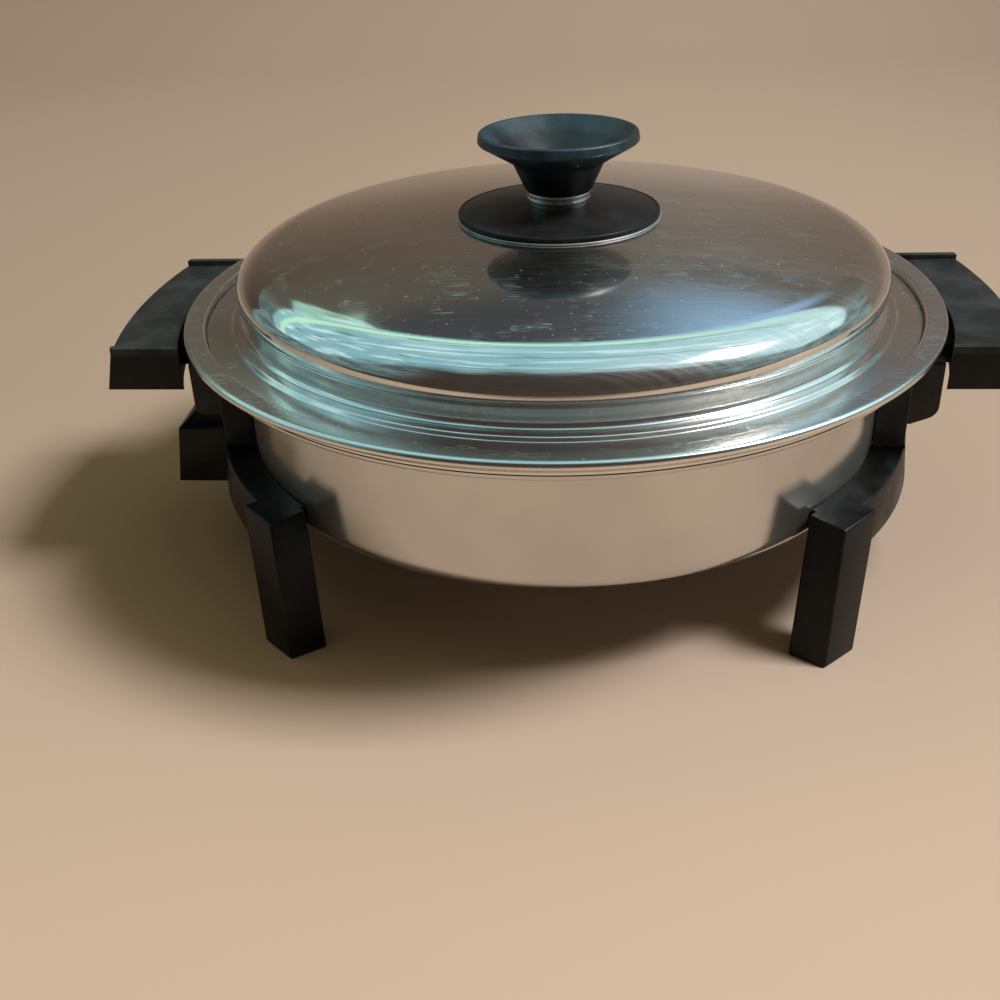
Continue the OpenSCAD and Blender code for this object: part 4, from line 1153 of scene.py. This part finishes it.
def window_lamp():
    """One large soft lamp, high on the right"""
    place, aim, side = Vector((2.40, -0.24, 3.21)), Vector((0, 0, 0.05)), 1.15
    lamp = bpy.data.lights.new("window_lamp", "AREA")
    lamp.shape, lamp.size, lamp.size_y = "RECTANGLE", side, side
    lamp.energy, lamp.color = 185, (1.0, 0.95, 0.90)
    item = bpy.data.objects.new("window_lamp", lamp)
    bpy.context.scene.collection.objects.link(item)
    turn = (aim - place).to_track_quat("-Z", "Y").to_matrix().to_4x4()
    item.matrix_world = Matrix.Translation(place) @ turn


def surroundings(look):
    """The room that the steel mirrors: a glass roof that is brightest on the right, pale side windows, a
    dim back wall over the backdrop and a dark front. The camera sees plain cloth colour there."""
    world = bpy.data.worlds.new("room")
    bpy.context.scene.world = world
    f = Shading(world, "Background", "Generated")
    x, y, z = f.spot()
    high = z.sum("MAXIMUM", 0.05)
    u, v = x / high, y / high
    wobble = f.noise(0.25, 2.0, 0.5) - 0.5
    left = u.ramp(-0.50, -0.46, 1.0, 0.0) * u.ramp(-1.00, -0.85, 0.3, 1.0)
    back = (v - left * 0.46 + wobble * 0.15).ramp(1.06, 1.16, 1.0, 0.0)
    front = (v + wobble * 0.5).ramp(-0.65, -0.15)
    sides = (u.size() + wobble * 0.8).ramp(2.8, 3.8, 1.0, 0.0)
    roof = back * front * sides * z.ramp(0.0, 0.1)
    right = u.ramp(-0.4, 1.2)
    glass = f.mix(right, tuple(look.sky_left), tuple(look.sky_right))
    glass = f.mix(left * v.ramp(0.9, 1.1) * 0.7, glass, (0.45, 0.78, 0.56))
    cloud = f.noise(0.13, 4.0, 0.6, (4, 1, 1))
    glass = f.mix(cloud.ramp(0.48, 0.68, 0.0, 0.75), glass, (1.1, 1.45, 1.5))
    leaves = f.noise(0.13, 4.0, 0.65).ramp(0.60, 0.66) * u.ramp(-0.2, 0.6, 1.0, 0.4)
    glass = f.mix(leaves, glass, (0.20, 0.34, 0.16))
    bars = ((v * 1.9 + u * 0.15).sum("FRACT") - 0.5).size().ramp(0.015, 0.035, 0.75, 0.0)
    glass = f.mix(bars * z.ramp(0.5, 0.8), glass, (0.10, 0.14, 0.15))
    edge = (v - 0.92).size().ramp(0.03, 0.11, 1.0, 0.0) * u.ramp(0.1, 0.5, 0.9, 0.3)
    glass = f.mix(edge, glass, (0.75, 1.30, 0.90))
    side = f.mix(cloud.ramp(0.4, 0.6), (0.10, 0.17, 0.18), (0.24, 0.36, 0.36))
    flank = x.size().ramp(0.45, 0.85) * y.ramp(-0.75, -0.45)
    blue = x.ramp(0.0, 0.22) * x.ramp(0.30, 0.45, 1.0, 0.0) * z.ramp(0.46, 0.57) * y.ramp(0.2, 0.5)
    shade = f.mix(z.ramp(0.50, 0.56), (0.115, 0.100, 0.075), (0.058, 0.060, 0.066))
    wall = f.mix(y.ramp(-0.5, 0.3), (0.060, 0.045, 0.036), shade)
    seen = f.mix(flank, wall, side)
    seen = f.mix(blue, seen, (0.33, 0.60, 0.90))
    seen = f.mix(roof, seen, glass)
    soft = f.mix(roof, (0.080, 0.062, 0.036), (0.45, 0.40, 0.22))
    light = f.mix(f.node("ShaderNodeLightPath", out="Is Glossy Ray"), soft, seen)
    bare = f.node("ShaderNodeLightPath", out="Is Camera Ray")
    f.put(Color=f.mix(bare, light, tuple(look.floor)), Strength=1.0)
    view = bpy.context.scene.view_settings
    view.view_transform = "Standard"


def camera():
    """The camera: where it aims, how far it stands, how high, how far round and how it is tilted"""
    aim_x, aim_z, away = -0.03017, 0.00497, 0.59007
    up_a, round_a, roll = 0.51944, 0.08917, -0.03758
    data = bpy.data.cameras.new("camera")
    data.sensor_width, data.lens = 36.0, 43.2
    data.clip_start = 0.01
    item = bpy.data.objects.new("camera", data)
    bpy.context.scene.collection.objects.link(item)
    right, up = Vector((1, 0, 0)), Vector((0, math.sin(up_a), math.cos(up_a)))
    back = Vector((0, -math.cos(up_a), math.sin(up_a)))
    across = right * math.cos(roll) + up * math.sin(roll)
    rise = up * math.cos(roll) - right * math.sin(roll)
    spot = Vector((aim_x, 0, aim_z)) + back * away
    columns = Matrix((across, rise, back)).transposed().to_4x4()
    item.matrix_world = Matrix.Rotation(round_a, 4, "Z") @ Matrix.Translation(spot) @ columns
    bpy.context.scene.camera = item


# ---- Panel and registration --------------------------------------------------------

OPERATORS = (SKILLET_OT_pan, SKILLET_OT_jacket, SKILLET_OT_lid, SKILLET_OT_knob, SKILLET_OT_grips,
             SKILLET_OT_leg_frames, SKILLET_OT_socket, SKILLET_OT_small_parts, SKILLET_OT_stage)


class VIEW3D_PT_skillet(bpy.types.Panel):
    """Lists the sizes, the finishes and the pieces"""
    bl_label = "Skillet"
    bl_idname = "VIEW3D_PT_skillet"
    bl_space_type = "VIEW_3D"
    bl_region_type = "UI"
    bl_category = "Skillet"

    def draw(self, context):
        for group in skillet(context):
            box = self.layout.box()
            for name in group.__annotations__:
                box.prop(group, name)
        for operator in OPERATORS:
            self.layout.operator(operator.bl_idname)


GROUPS = (SkilletMetal, SkilletMouldings, SkilletFinish)
CLASSES = (*GROUPS, *OPERATORS, VIEW3D_PT_skillet)


def register():
    for cls in CLASSES:
        bpy.utils.register_class(cls)
    bpy.types.Scene.skillet_metal = PointerProperty(type=SkilletMetal)
    bpy.types.Scene.skillet_mouldings = PointerProperty(type=SkilletMouldings)
    bpy.types.Scene.skillet_finish = PointerProperty(type=SkilletFinish)


def unregister():
    del bpy.types.Scene.skillet_metal, bpy.types.Scene.skillet_mouldings, bpy.types.Scene.skillet_finish
    for cls in reversed(CLASSES):
        bpy.utils.unregister_class(cls)


def main():
    register()
    for operator in OPERATORS:
        group, name = operator.bl_idname.split(".")
        getattr(getattr(bpy.ops, group), name)()


if __name__ == "__main__":
    main()
